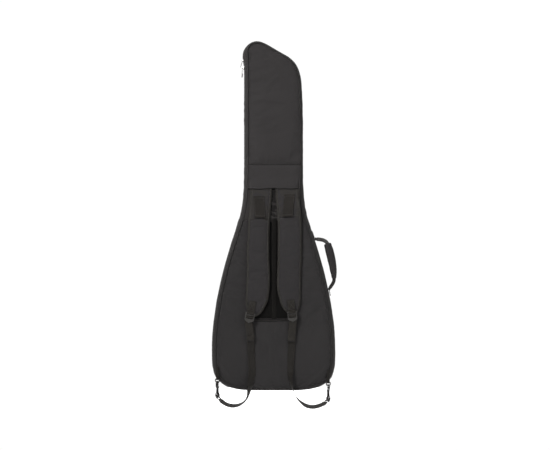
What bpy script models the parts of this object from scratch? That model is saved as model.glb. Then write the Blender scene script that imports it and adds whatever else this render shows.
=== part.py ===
"""Padded gig bag for an electric bass: back shell, zip-off front shell, backpack straps.

Frame: +Z up, the back panel (the side worn against the back) faces -Y, X to the right as
that side is seen.  The origin is the point on the head end the bag hangs by.  Heights in
the constants are above the base of the bag; place() shifts them to the hanging origin.
Units: metres.
"""
import bpy
import bmesh
import math
from mathutils import Vector, Matrix

# ---------------------------------------------------------------- driving dimensions
HANG_Z = 1.1968          # height of the hanging point above the base
BAG_H = 1.221            # base to the top of the head end
Y_BACK = -0.045          # plane of the back panel
Y_ZIP = 0.008            # plane of the main zip and of the spine fold
FRONT_BASE = 0.050       # front panel plane at the base ...
FRONT_HEAD = 0.038       # ... and at the head end
SKIN, FOAM, LINING, GAP = 0.0015, 0.010, 0.001, 0.0003
NECK_HALF = 0.1025       # half width of the neck
SEAM_INSET = 0.0135      # piping inset from the silhouette
WEB_W, WEB_T = 0.025, 0.0015         # webbing width and thickness
HEAD_ARC = (-0.0585, 1.178, 0.043)   # centre x, z and radius of the head's left corner

# one side of the body, base to neck: half width, height
BODY_SIDE = [(0.060, 0.000), (0.105, 0.0012), (0.145, 0.0050), (0.172, 0.0130), (0.192, 0.0275),
             (0.2050, 0.0470), (0.2130, 0.0720), (0.2160, 0.1050), (0.2160, 0.1500),
             (0.2135, 0.2050), (0.2075, 0.2550), (0.1995, 0.3080), (0.1890, 0.3600),
             (0.1765, 0.4130), (0.1620, 0.4650), (0.1460, 0.5180), (0.1310, 0.5630),
             (0.1180, 0.6050), (0.1090, 0.6500), (0.1042, 0.7000), (NECK_HALF, 0.7600)]
# right edge of the head end, neck to peak
HEAD_RIGHT = [(NECK_HALF, 0.860), (0.1020, 0.950), (0.1000, 1.030), (0.0960, 1.085),
              (0.0890, 1.117), (0.0784, 1.140), (0.0644, 1.1560), (0.0504, 1.1670),
              (0.0364, 1.1755), (0.0084, 1.1918), (-0.0196, 1.2080), (-0.0350, 1.2160),
              (-0.0480, 1.2200)]
HINGE_LOW, HINGE_TOP = (0.2231, 0.150), (0.0975, 1.085)   # spine fold line, x and height

# shoulder straps: height, left edge, right edge, thickness
STRAP_L = [(0.7010, -0.0785, -0.0065, 0.0040), (0.6800, -0.0805, -0.0072, 0.0060),
           (0.6500, -0.0830, -0.0090, 0.0100), (0.5860, -0.0875, -0.0140, 0.0120),
           (0.4810, -0.0927, -0.0161, 0.0120), (0.4220, -0.0925, -0.0140, 0.0120),
           (0.3620, -0.0952, -0.0140, 0.0120), (0.3170, -0.0970, -0.0195, 0.0120),
           (0.2980, -0.0960, -0.0265, 0.0120), (0.2800, -0.0925, -0.0360, 0.0120),
           (0.2680, -0.0860, -0.0440, 0.0105), (0.2590, -0.0760, -0.0540, 0.0070)]
STRAP_R = [(0.7010, 0.0077, 0.0854, 0.0040), (0.6800, 0.0084, 0.0880, 0.0060),
           (0.6500, 0.0105, 0.0915, 0.0100), (0.5860, 0.0154, 0.0973, 0.0120),
           (0.4810, 0.0154, 0.0984, 0.0120), (0.4220, 0.0140, 0.0966, 0.0120),
           (0.3620, 0.0126, 0.0952, 0.0120), (0.3240, 0.0189, 0.0950, 0.0120),
           (0.3000, 0.0255, 0.0930, 0.0120), (0.2840, 0.0340, 0.0890, 0.0120),
           (0.2730, 0.0430, 0.0830, 0.0105), (0.2640, 0.0530, 0.0740, 0.0070)]
Y_STRAP = -0.0506                    # face of the strap pads towards the back panel
STRAP_AXIS = (-0.0515, 0.7025)       # y and height of the seam the straps swing on

FLAP_TOP, FLAP_LOW = 0.786, 0.7030   # panel that covers the strap ends
YOKE_LOW = 0.585
MESH_TOP, MESH_LOW = 0.5790, 0.2475
HEM_LOW = 0.2360

BUCKLE_W, BUCKLE_L, BUCKLE_T = 0.033, 0.036, 0.004
Y_BUCKLE = -0.0660
# per side: top of the buckle (x, height), lean, ring centre x, height of the ring's wire
SIDES = {"left": dict(sign=-1, buckle=(-0.0800, 0.2693), lean=math.radians(-12.0),
                      ring_x=-0.1964, wire_z=0.0250),
         "right": dict(sign=1, buckle=(0.0640, 0.2735), lean=math.radians(6.0),
                       ring_x=0.1915, wire_z=0.0133)}
Y_RING = -0.0520
RING_WIRE, RING_DROP = 0.0012, 0.0115

HANDLE_Y = -0.018
HANDLE_TOP, HANDLE_LOW = (0.1425, 0.527), (0.1925, 0.352)  # anchors on the gusset
HANDLE_ARC = [(0.1887, 0.5120), (0.1960, 0.4880), (0.2060, 0.4460), (0.2114, 0.4110),
              (0.2132, 0.3850)]

POCKET_TOP = 0.500

# ---------------------------------------------------------------- helpers
for ob in list(bpy.data.objects):
    bpy.data.objects.remove(ob)


def material(name, colour, rough, metal=0.0):
    m = bpy.data.materials.new(name)
    m.use_nodes = True
    b = m.node_tree.nodes["Principled BSDF"]
    b.inputs["Base Color"].default_value = (*colour, 1.0)
    b.inputs["Roughness"].default_value = rough
    b.inputs["Metallic"].default_value = metal
    return m


def place(p):
    """A point given by its height above the base, moved to the hanging origin."""
    return Vector((p[0], p[1], p[2] - HANG_Z))


def add(name, verts, faces, mat, origin=(0.0, 0.0, HANG_Z)):
    """A solid from points whose heights are above the base; its origin on `origin`."""
    o = place(origin)
    me = bpy.data.meshes.new(name)
    me.from_pydata([place(v) - o for v in verts], [], faces)
    bm = bmesh.new()
    bm.from_mesh(me)
    bmesh.ops.recalc_face_normals(bm, faces=bm.faces)
    bm.to_mesh(me)
    bm.free()
    ob = bpy.data.objects.new(name, me)
    ob.location = o
    bpy.context.scene.collection.objects.link(ob)
    ob.data.materials.append(material(name, *mat))
    return ob


def loft(name, rings, mat, closed=False, **kw):
    """Skin a list of equal rings; the two ends are capped unless the loft is closed."""
    n = len(rings[0])
    verts = [p for r in rings for p in r]
    faces = []
    last = len(rings) if closed else len(rings) - 1
    for k in range(last):
        a, b = k * n, ((k + 1) % len(rings)) * n
        for j in range(n):
            faces.append((a + j, a + (j + 1) % n, b + (j + 1) % n, b + j))
    if not closed:
        faces.append(tuple(range(n)))
        faces.append(tuple(range(len(verts) - n, len(verts))))
    return add(name, verts, faces, mat, **kw)


def spline(points, closed, steps):
    """Catmull-Rom through points of any dimension."""
    out, n = [], len(points)
    for i in range(n if closed else n - 1):
        def at(k):
            return points[k % n] if closed else points[min(max(k, 0), n - 1)]
        p0, p1, p2, p3 = at(i - 1), at(i), at(i + 1), at(i + 2)
        for s in range(steps):
            t = s / steps
            out.append(tuple(0.5 * (2 * b + (c - a) * t + (2 * a - 5 * b + 4 * c - d) * t * t
                                    + (3 * b - a - 3 * c + d) * t ** 3)
                             for a, b, c, d in zip(p0, p1, p2, p3)))
    if not closed:
        out.append(points[-1])
    return out


def bag_outline():
    """Silhouette points from the spine's foot, up the spine, over the head and round."""
    arc = [(HEAD_ARC[0] + HEAD_ARC[2] * math.cos(math.radians(a)),
            HEAD_ARC[1] + HEAD_ARC[2] * math.sin(math.radians(a))) for a in (95, 115, 135, 155, 178)]
    left = [(-x, z) for x, z in reversed(BODY_SIDE)]
    neck = [(-NECK_HALF, z) for z in (1.130, 1.060, 0.960, 0.860)]
    ctrl = BODY_SIDE[7:] + HEAD_RIGHT + arc + neck + left + BODY_SIDE[:7]
    dense = spline(ctrl, True, 12)
    n, keep, turn, run = len(dense), [0], 0.0, 0.0
    for i in range(1, n):
        a, b, c = dense[i - 1], dense[i], dense[(i + 1) % n]
        d1, d2 = (b[0] - a[0], b[1] - a[1]), (c[0] - b[0], c[1] - b[1])
        turn += abs(math.atan2(d1[0] * d2[1] - d1[1] * d2[0], d1[0] * d2[0] + d1[1] * d2[1]))
        run += math.hypot(*d1)
        if turn > math.radians(8.0) or run > 0.085:
            keep.append(i)
            turn = run = 0.0
    pts, nrm = [], []
    for i in keep:
        a, c = dense[i - 1], dense[(i + 1) % n]
        tx, tz = c[0] - a[0], c[1] - a[1]
        length = math.hypot(tx, tz)
        pts.append(dense[i])
        nrm.append((-tz / length, tx / length))
    return pts, nrm


OUT, NRM = bag_outline()
N = len(OUT)
SPINE_END = max(i for i in range(N // 2) if OUT[i][1] < 1.10)   # last point of the spine


def front_scale(z):
    front = FRONT_BASE + (FRONT_HEAD - FRONT_BASE) * z / BAG_H
    return (front - Y_ZIP) / (FRONT_BASE - Y_ZIP)


def front_plane(z):
    return FRONT_BASE + (FRONT_HEAD - FRONT_BASE) * z / BAG_H


def skin_point(i, u, y):
    """Point of the shell: outline index, inset from the silhouette, depth."""
    x, z = OUT[i][0] + NRM[i][0] * u, OUT[i][1] + NRM[i][1] * u
    if y > Y_ZIP:
        y = Y_ZIP + (y - Y_ZIP) * front_scale(z)
    return (x, y, z)


def offset(profile, d):
    """Move a shell profile (inset, depth) inwards by d; the rim keeps its depth."""
    out, last = [], len(profile) - 1
    for k, (u, y) in enumerate(profile):
        if k == 0:
            out.append((u + d, y))
        elif k == last:
            out.append((u, y + d * (1 if y < Y_ZIP else -1)))
        else:
            (ua, ya), (ub, yb) = profile[k - 1], profile[k + 1]
            tu, ty = ub - ua, yb - ya
            length = math.hypot(tu, ty)
            out.append((u + d * abs(ty) / length, y + d * abs(tu) / length
                        * (1 if y < Y_ZIP else -1)))
    return out


BACK_PROFILE = [(0.0000, 0.0), (0.0000, -0.012), (0.0008, -0.0270), (0.0048, -0.0375),
                (0.0115, -0.0432), (0.0200, Y_BACK)]
FRONT_PROFILE = [(0.0000, 0.0), (0.0000, 0.0240), (0.0008, 0.0340), (0.0048, 0.0430),
                 (0.0115, 0.0483), (0.0200, FRONT_BASE)]


def shell(name, profile, d0, d1, rim_zip, rim_spine, mat, **kw):
    """One layer of a shell half: between two offsets of its profile, open at the rim."""
    rings = []
    for prof, order in ((offset(profile, d0), -1), (offset(profile, d1), 1)):
        part = []
        for k, (u, y) in enumerate(prof):
            ring = []
            for i in range(N):
                yy = y
                if k == 0:
                    yy = rim_spine if 0 <= i <= SPINE_END else rim_zip
                ring.append(skin_point(i, u, yy))
            part.append(ring)
        rings += part[::order]
    return loft(name, rings, mat, **kw)


def along(name, indices, section, mat, closed=False, **kw):
    """Sweep a section (inset, depth) along part of the outline."""
    rings = [[skin_point(i % N, u, y) for u, y in section] for i in indices]
    return loft(name, rings, mat, closed=closed, **kw)


def round_section(u, y, r, n=8):
    return [(u + r * math.cos(2 * math.pi * k / n), y + r * math.sin(2 * math.pi * k / n))
            for k in range(n)]


def inset(poly, d):
    """Move the corners of a polygon inwards by d."""
    area = sum(a[0] * b[1] - b[0] * a[1] for a, b in zip(poly, poly[1:] + poly[:1]))
    s = 1.0 if area > 0 else -1.0
    out, n = [], len(poly)
    for i in range(n):
        a, b, c = Vector(poly[i - 1]), Vector(poly[i]), Vector(poly[(i + 1) % n])
        n1, n2 = (b - a).normalized(), (c - b).normalized()
        n1, n2 = Vector((-n1.y, n1.x)) * s, Vector((-n2.y, n2.x)) * s
        m = (n1 + n2).normalized()
        out.append(tuple(b + m * (d / max(0.5, m.dot(n1)))))
    return out


def slab(name, poly, ya, yb, mat, bevel=0.0, follow=None, **kw):
    """Plate with the x-z outline `poly` between depths ya and yb (added to follow(z))."""
    add_y = follow if follow else (lambda z: 0.0)
    steps = [(0.0, ya), (0.0, yb)]
    if bevel:
        side = 1 if yb > ya else -1
        steps = [(0.0, ya), (0.0, yb - side * bevel), (bevel, yb)]
    rings = []
    for d, y in steps:
        p = inset(poly, d) if d else poly
        rings.append([(x, y + add_y(z), z) for x, z in p])
    return loft(name, rings, mat, **kw)


def ribbon(name, pts, wides, width, thick, mat, **kw):
    """Flat webbing along a 3-D path; wides gives the across direction at each point.

    Both flat sides are split along the same diagonals, so that a twist keeps its thickness."""
    verts = []
    for k, p in enumerate(pts):
        a, b = Vector(pts[max(k - 1, 0)]), Vector(pts[min(k + 1, len(pts) - 1)])
        t = (b - a).normalized()
        w = Vector(wides[k])
        w = (w - t * w.dot(t)).normalized()
        f = t.cross(w)
        c = Vector(p)
        verts += [tuple(c + w * (width / 2 * i) + f * (thick / 2 * j))
                  for i, j in ((-1, -1), (1, -1), (1, 1), (-1, 1))]
    faces = [(0, 1, 2, 3), tuple(range(len(verts) - 4, len(verts)))]
    for k in range(len(pts) - 1):
        a, b = 4 * k, 4 * k + 4
        faces += [(a, a + 1, b + 1), (a, b + 1, b), (a + 2, a + 3, b + 2), (a + 3, b + 3, b + 2)]
        faces += [(a + 1, a + 2, b + 2, b + 1), (a + 3, a, b, b + 3)]
    return add(name, verts, faces, mat, **kw)


def tube(name, pts, radius, mat, n=8, closed=False, **kw):
    rings, m = [], len(pts)
    for k, p in enumerate(pts):
        a = Vector(pts[(k - 1) % m] if closed or k else pts[0])
        b = Vector(pts[(k + 1) % m] if closed or k < m - 1 else pts[-1])
        t = (b - a).normalized()
        s = Vector((0, 1, 0)) if abs(t.y) < 0.9 else Vector((1, 0, 0))
        u = t.cross(s).normalized()
        v = t.cross(u)
        rings.append([tuple(Vector(p) + (u * math.cos(2 * math.pi * j / n)
                                         + v * math.sin(2 * math.pi * j / n)) * radius)
                      for j in range(n)])
    return loft(name, rings, mat, closed=closed, **kw)


def block(centre, size, turn=None):
    """Corner points and faces of a box, for joining and cutting."""
    c = Vector(centre)
    m = turn or Matrix.Identity(3)
    v = [tuple(c + m @ Vector((sx * size[0] / 2, sy * size[1] / 2, sz * size[2] / 2)))
         for sx in (-1, 1) for sy in (-1, 1) for sz in (-1, 1)]
    f = [(0, 1, 3, 2), (4, 6, 7, 5), (0, 4, 5, 1), (2, 3, 7, 6), (0, 2, 6, 4), (1, 5, 7, 3)]
    return v, f


def carve(base, cutters, mode):
    """Apply boxes or prisms (verts, faces) to a solid with an exact Boolean."""
    for k, (v, f) in enumerate(cutters):
        o = base.location
        me = bpy.data.meshes.new("cutter")
        me.from_pydata([place(p) for p in v], [], f)
        bm = bmesh.new()
        bm.from_mesh(me)
        bmesh.ops.recalc_face_normals(bm, faces=bm.faces)
        bm.to_mesh(me)
        bm.free()
        cut = bpy.data.objects.new("cutter", me)
        bpy.context.scene.collection.objects.link(cut)
        mod = base.modifiers.new("cut", "BOOLEAN")
        mod.operation, mod.solver, mod.object = mode, "EXACT", cut
        bpy.context.view_layer.update()
        deps = bpy.context.evaluated_depsgraph_get()
        done = bpy.data.meshes.new_from_object(base.evaluated_get(deps))
        base.modifiers.clear()
        base.data = done
        bpy.data.objects.remove(cut)
    return base


def prism_x(poly_yz, x0, x1):
    n = len(poly_yz)
    v = [(x0, y, z) for y, z in poly_yz] + [(x1, y, z) for y, z in poly_yz]
    f = [tuple(range(n)), tuple(range(n, 2 * n))]
    f += [(i, (i + 1) % n, n + (i + 1) % n, n + i) for i in range(n)]
    return v, f


# surface finishes: base colour, roughness, metallic
NYLON = ((0.030, 0.029, 0.029), 0.78)
PANEL = ((0.034, 0.032, 0.032), 0.75)
WEBBING = ((0.020, 0.018, 0.016), 0.70)
MESH = ((0.010, 0.009, 0.008), 0.90)
FOAM_MAT = ((0.16, 0.16, 0.17), 0.95)
LINING_MAT = ((0.055, 0.055, 0.060), 0.85)
PLASTIC = ((0.016, 0.014, 0.014), 0.35)
NICKEL = ((0.62, 0.61, 0.59), 0.25, 1.0)
COIL = ((0.018, 0.017, 0.017), 0.40)

# ---------------------------------------------------------------- back shell (root)
ROOT_RIM, FOAM_RIM, FOAM_SPINE = Y_ZIP - 0.0125, Y_ZIP - 0.0045, Y_ZIP - 0.0130
shell("back_shell_skin", BACK_PROFILE, 0.0, SKIN, ROOT_RIM, ROOT_RIM, NYLON)
shell("back_shell_foam", BACK_PROFILE, SKIN + GAP, SKIN + GAP + FOAM, FOAM_RIM, FOAM_SPINE, FOAM_MAT)
LIN_0 = SKIN + GAP + FOAM + 0.0009
LIN_1 = LIN_0 + LINING
shell("back_shell_lining", BACK_PROFILE, LIN_0, LIN_1, FOAM_RIM, FOAM_SPINE, LINING_MAT)
along("back_piping", range(N), round_section(SEAM_INSET, Y_BACK - 0.0012, 0.0020), PANEL, closed=True)

ZIP_RUN = list(range(SPINE_END, N + 1))          # head's right corner, left side, base, foot
SPINE_RUN = list(range(0, SPINE_END + 1))


def chain(side, mat_tape, mat_teeth):
    s = -1 if side == "back" else 1
    along(f"main_zip_tape_{side}", ZIP_RUN,
          [(0.0004, Y_ZIP + s * 0.0048), (0.0004, Y_ZIP + s * 0.0122),
           (0.0014, Y_ZIP + s * 0.0122), (0.0014, Y_ZIP + s * 0.0048)], mat_tape)
    along(f"main_zip_teeth_{side}", ZIP_RUN,
          [(-0.0014, Y_ZIP + s * 0.0010), (-0.0014, Y_ZIP + s * 0.0034), (0.0000, Y_ZIP + s * 0.0045),
           (0.0014, Y_ZIP + s * 0.0045), (0.0014, Y_ZIP + s * 0.0002),
           (0.0000, Y_ZIP + s * 0.0002)], mat_teeth)


chain("back", NYLON, COIL)
along("spine_fold", SPINE_RUN[1:-1],
      [(0.0004, Y_ZIP - 0.0122), (0.0004, Y_ZIP + 0.0122), (0.0014, Y_ZIP + 0.0122),
       (0.0014, Y_ZIP - 0.0122)], NYLON)


def outline_between(seam, z0, z1):
    """Closed x-z polygon: the outline inset by `seam`, cut level at z0 and/or z1."""
    pts = [(OUT[i][0] + NRM[i][0] * seam, OUT[i][1] + NRM[i][1] * seam) for i in range(N)]

    def cut(poly, level, above):
        out = []
        for a, b in zip(poly, poly[1:] + poly[:1]):
            ina = (a[1] >= level) == above
            inb = (b[1] >= level) == above
            if ina:
                out.append(a)
            if ina != inb:
                t = (level - a[1]) / (b[1] - a[1])
                out.append((a[0] + t * (b[0] - a[0]), level))
        return out
    if z0 is not None:
        pts = cut(pts, z0, True)
    if z1 is not None:
        pts = cut(pts, z1, False)
    return [p for i, p in enumerate(pts)
            if math.hypot(p[0] - pts[i - 1][0], p[1] - pts[i - 1][1]) > 2e-4]


slab("neck_back_panel", outline_between(0.0175, FLAP_TOP + GAP, None), Y_BACK - GAP, Y_BACK - GAP - 0.001,
     PANEL)
flap_yz = [(Y_BACK - GAP, FLAP_TOP), (-0.0500, FLAP_TOP), (-0.0525, 0.7700), (-0.0525, FLAP_LOW),
           (-0.0510, FLAP_LOW), (-0.0510, 0.7420), (Y_BACK - GAP, 0.7420)]
v, f = prism_x(flap_yz, -0.0862, 0.0862)
add("strap_cover_flap", v, f, PANEL)
slab("yoke_panel", outline_between(0.0175, YOKE_LOW, 0.7415), Y_BACK - GAP, Y_BACK - GAP - 0.001, PANEL)
slab("mesh_back_pad", [(-0.078, MESH_LOW), (0.068, MESH_LOW), (0.084, 0.300), (0.088, 0.330),
                       (0.088, MESH_TOP), (-0.088, MESH_TOP), (-0.088, 0.330), (-0.086, 0.290)],
     Y_BACK - GAP, -0.0500, MESH, bevel=0.002)
slab("mesh_hem_binding", [(-0.078, HEM_LOW), (0.068, HEM_LOW), (0.068, MESH_LOW - GAP),
                          (-0.078, MESH_LOW - GAP)], Y_BACK - GAP, -0.0490, PANEL)

# padding inside the shell
in_back = Y_BACK + LIN_1 + GAP          # inner face of the back lining
cradle = [(in_back, 0.640), (in_back, 0.690), (0.0120, 0.690), (0.0120, 0.640)]
v, f = prism_x(cradle, -0.070, 0.070)
ob = add("neck_cradle", v, f, FOAM_MAT)
notch = [(-0.030, 0.0140), (-0.030, -0.0080), (-0.020, -0.0160), (0.020, -0.0160),
         (0.030, -0.0080), (0.030, 0.0140)]
nv = [(x, y, z) for z in (0.630, 0.700) for x, y in notch]
nf = [tuple(range(6)), tuple(range(6, 12))] + [(i, (i + 1) % 6, 6 + (i + 1) % 6, 6 + i) for i in range(6)]
carve(ob, [(nv, nf)], "DIFFERENCE")
slab("end_pin_pad", [(-0.080, 0.030), (0.080, 0.030), (0.080, 0.095), (-0.080, 0.095)],
     in_back, in_back + 0.006, FOAM_MAT, bevel=0.002)

# ---------------------------------------------------------------- front shell (lid)
HINGE = (HINGE_LOW[0], Y_ZIP, HINGE_LOW[1])
lid = dict(origin=HINGE)
LID_RIM, LFOAM_RIM, LFOAM_SPINE = Y_ZIP + 0.0125, Y_ZIP + 0.0045, Y_ZIP + 0.0150
shell("front_shell_skin", FRONT_PROFILE, 0.0, SKIN, LID_RIM, LID_RIM, NYLON, **lid)
shell("front_shell_foam", FRONT_PROFILE, SKIN + GAP, SKIN + GAP + FOAM, LFOAM_RIM, LFOAM_SPINE,
      FOAM_MAT, **lid)
shell("front_shell_lining", FRONT_PROFILE, LIN_0, LIN_1, LFOAM_RIM, LFOAM_SPINE, LINING_MAT, **lid)
rings = []
for i in range(N):
    ring = []
    for u, dy in round_section(SEAM_INSET, 0.0, 0.0020):
        x, _, z = skin_point(i, u, 0.0)
        ring.append((x, front_plane(z) + 0.0014 + dy, z))
    rings.append(ring)
loft("front_piping", rings, PANEL, closed=True, **lid)
chain("front", NYLON, COIL)
for nm in ("main_zip_tape_front", "main_zip_teeth_front"):
    ob = bpy.data.objects[nm]
    shift = place(HINGE)
    for vert in ob.data.vertices:
        vert.co -= shift - ob.location
    ob.location = shift
slab("front_pocket_panel", outline_between(0.030, None, POCKET_TOP), GAP, 0.0093, NYLON,
     bevel=0.004, follow=front_plane, **lid)
zip_z = POCKET_TOP + 0.014
zip_yz = [(GAP, zip_z - 0.013), (0.0012, zip_z - 0.013), (0.0012, zip_z - 0.0035),
          (0.0030, zip_z - 0.0025), (0.0030, zip_z + 0.0025), (0.0012, zip_z + 0.0035),
          (0.0012, zip_z + 0.013), (GAP, zip_z + 0.013)]
v, f = prism_x([(y + front_plane(z), z) for y, z in zip_yz], -0.112, 0.112)
add("front_pocket_zip", v, f, COIL, **lid)
guard = [(-0.075, 0.200), (0.075, 0.200), (0.075, 0.330), (-0.075, 0.330)]
lin_in = LIN_1 + GAP * 1.5
rings = []
for t in (0.0, 0.0020):
    rings.append([(x, Y_ZIP + (FRONT_BASE - lin_in - t - Y_ZIP) * front_scale(z), z) for x, z in guard])
loft("bridge_guard_patch", rings, ((0.045, 0.030, 0.022), 0.55), **lid)


# ---------------------------------------------------------------- zip sliders and pulls
def slider_and_pull(stem, pos, out, run, pull_len, tilt, pull_mat):
    """Slider plate with its bail, and the pull hanging from the bail.

    pos: point of the teeth's outer face; out: unit vector away from the bag; run: unit
    vector up the chain.  The bail's bar lies across the chain."""
    o, r = Vector(out), Vector(run)
    a = o.cross(r)
    m = Matrix((a, o, r)).transposed()

    def local(p):
        return tuple(Vector(pos) + m @ Vector(p))
    plate = [(-0.0050, -0.0065), (0.0050, -0.0065), (0.0062, 0.0020), (0.0050, 0.0065),
             (-0.0050, 0.0065), (-0.0062, 0.0020)]
    rings = [[local((x, GAP, z)) for x, z in plate],
             [local((x, 0.0020, z)) for x, z in plate],
             [local((x * 0.8, 0.0027, z * 0.85)) for x, z in plate]]
    body = loft(f"{stem}_slider", rings, NICKEL, origin=tuple(Vector(pos)))
    posts = []
    for sx in (-1, 1):
        posts.append(block(local((sx * 0.0034, 0.0046, 0.0)), (0.0014, 0.0050, 0.0024), m))
    carve(body, posts, "UNION")
    carve(body, [block(local((0.0, 0.0066, 0.0)), (0.0082, 0.0014, 0.0020), m)], "UNION")
    axis = Vector(local((0.0, 0.0066, 0.0)))
    # pull: flat tab with an eye round the bar, hanging down along -run
    down = (-r * math.cos(tilt) + o * math.sin(tilt)).normalized()
    across = a
    thick = down.cross(across).normalized()

    def tab(p):
        return tuple(axis + across * p[0] + thick * p[1] + down * p[2])
    # side view of the eye: a small ring round the bar that runs into the flat tab
    ring_o = [(0.0022 * math.sin(t), -0.0022 * math.cos(t)) for t in
              [2 * math.pi * k / 12 for k in range(12)]]
    ring_i = [(0.0013 * math.sin(t), -0.0013 * math.cos(t)) for t in
              [2 * math.pi * k / 12 for k in range(12)]]
    half = 0.0022
    rings = [[tab((-half, y, z)) for y, z in ring_o], [tab((half, y, z)) for y, z in ring_o],
             [tab((half, y, z)) for y, z in ring_i], [tab((-half, y, z)) for y, z in ring_i]]
    pull = loft(f"{stem}_pull", rings, pull_mat, closed=True, origin=tuple(axis))
    shape = [(-half, 0.0017), (half, 0.0017), (0.0030, 0.0060), (0.0030, pull_len - 0.003),
             (0.0015, pull_len), (-0.0015, pull_len), (-0.0030, pull_len - 0.003), (-0.0030, 0.0060)]
    n = len(shape)
    verts = [tab((x, -0.0007, z)) for x, z in shape] + [tab((x, 0.0007, z)) for x, z in shape]
    faces = [tuple(range(n)), tuple(range(n, 2 * n))]
    faces += [(i, (i + 1) % n, n + (i + 1) % n, n + i) for i in range(n)]
    carve(pull, [(verts, faces)], "UNION")
    return body, pull


TEETH_X = -NECK_HALF - 0.0014
slider_and_pull("main_zip_upper", (TEETH_X, Y_ZIP, 1.1580), (-1, 0, 0), (0, 0, 1), 0.0245,
                math.radians(16), NICKEL)
slider_and_pull("main_zip_lower", (TEETH_X, Y_ZIP, 1.1318), (-1, 0, 0), (0, 0, 1), 0.033,
                math.radians(4), NICKEL)
tilt_k = (FRONT_BASE - FRONT_HEAD) / BAG_H
nrm_front = Vector((0.0, 1.0, tilt_k)).normalized()
slider_and_pull("front_pocket", (-0.102, front_plane(zip_z) + 0.0030, zip_z), tuple(nrm_front), (1, 0, 0),
                0.028, 0.0, NICKEL)

# ---------------------------------------------------------------- shoulder straps
V_AXIS = Vector((0.0, -1.0, 0.0))


def strap_pad(name, rows, origin):
    rings = []
    for z, xl, xr, t in rows:
        r = min(0.0030, t * 0.45)
        ya, yb = Y_STRAP, Y_STRAP - t
        rings.append([(xl + r, ya, z), (xl, ya - r, z), (xl, yb + r, z), (xl + r, yb, z),
                      (xr - r, yb, z), (xr, yb + r, z), (xr, ya - r, z), (xr - r, ya, z)])
    return loft(name, rings, PANEL, origin=origin)


def lean_frame(side):
    """Down and across directions of a strap's lower fittings."""
    a = SIDES[side]["lean"]
    down = Vector((math.sin(a), 0.0, -math.cos(a)))
    across = Vector((math.cos(a), 0.0, math.sin(a)))
    top = SIDES[side]["buckle"]
    return Vector((top[0], Y_BUCKLE, top[1])), down, across


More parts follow.
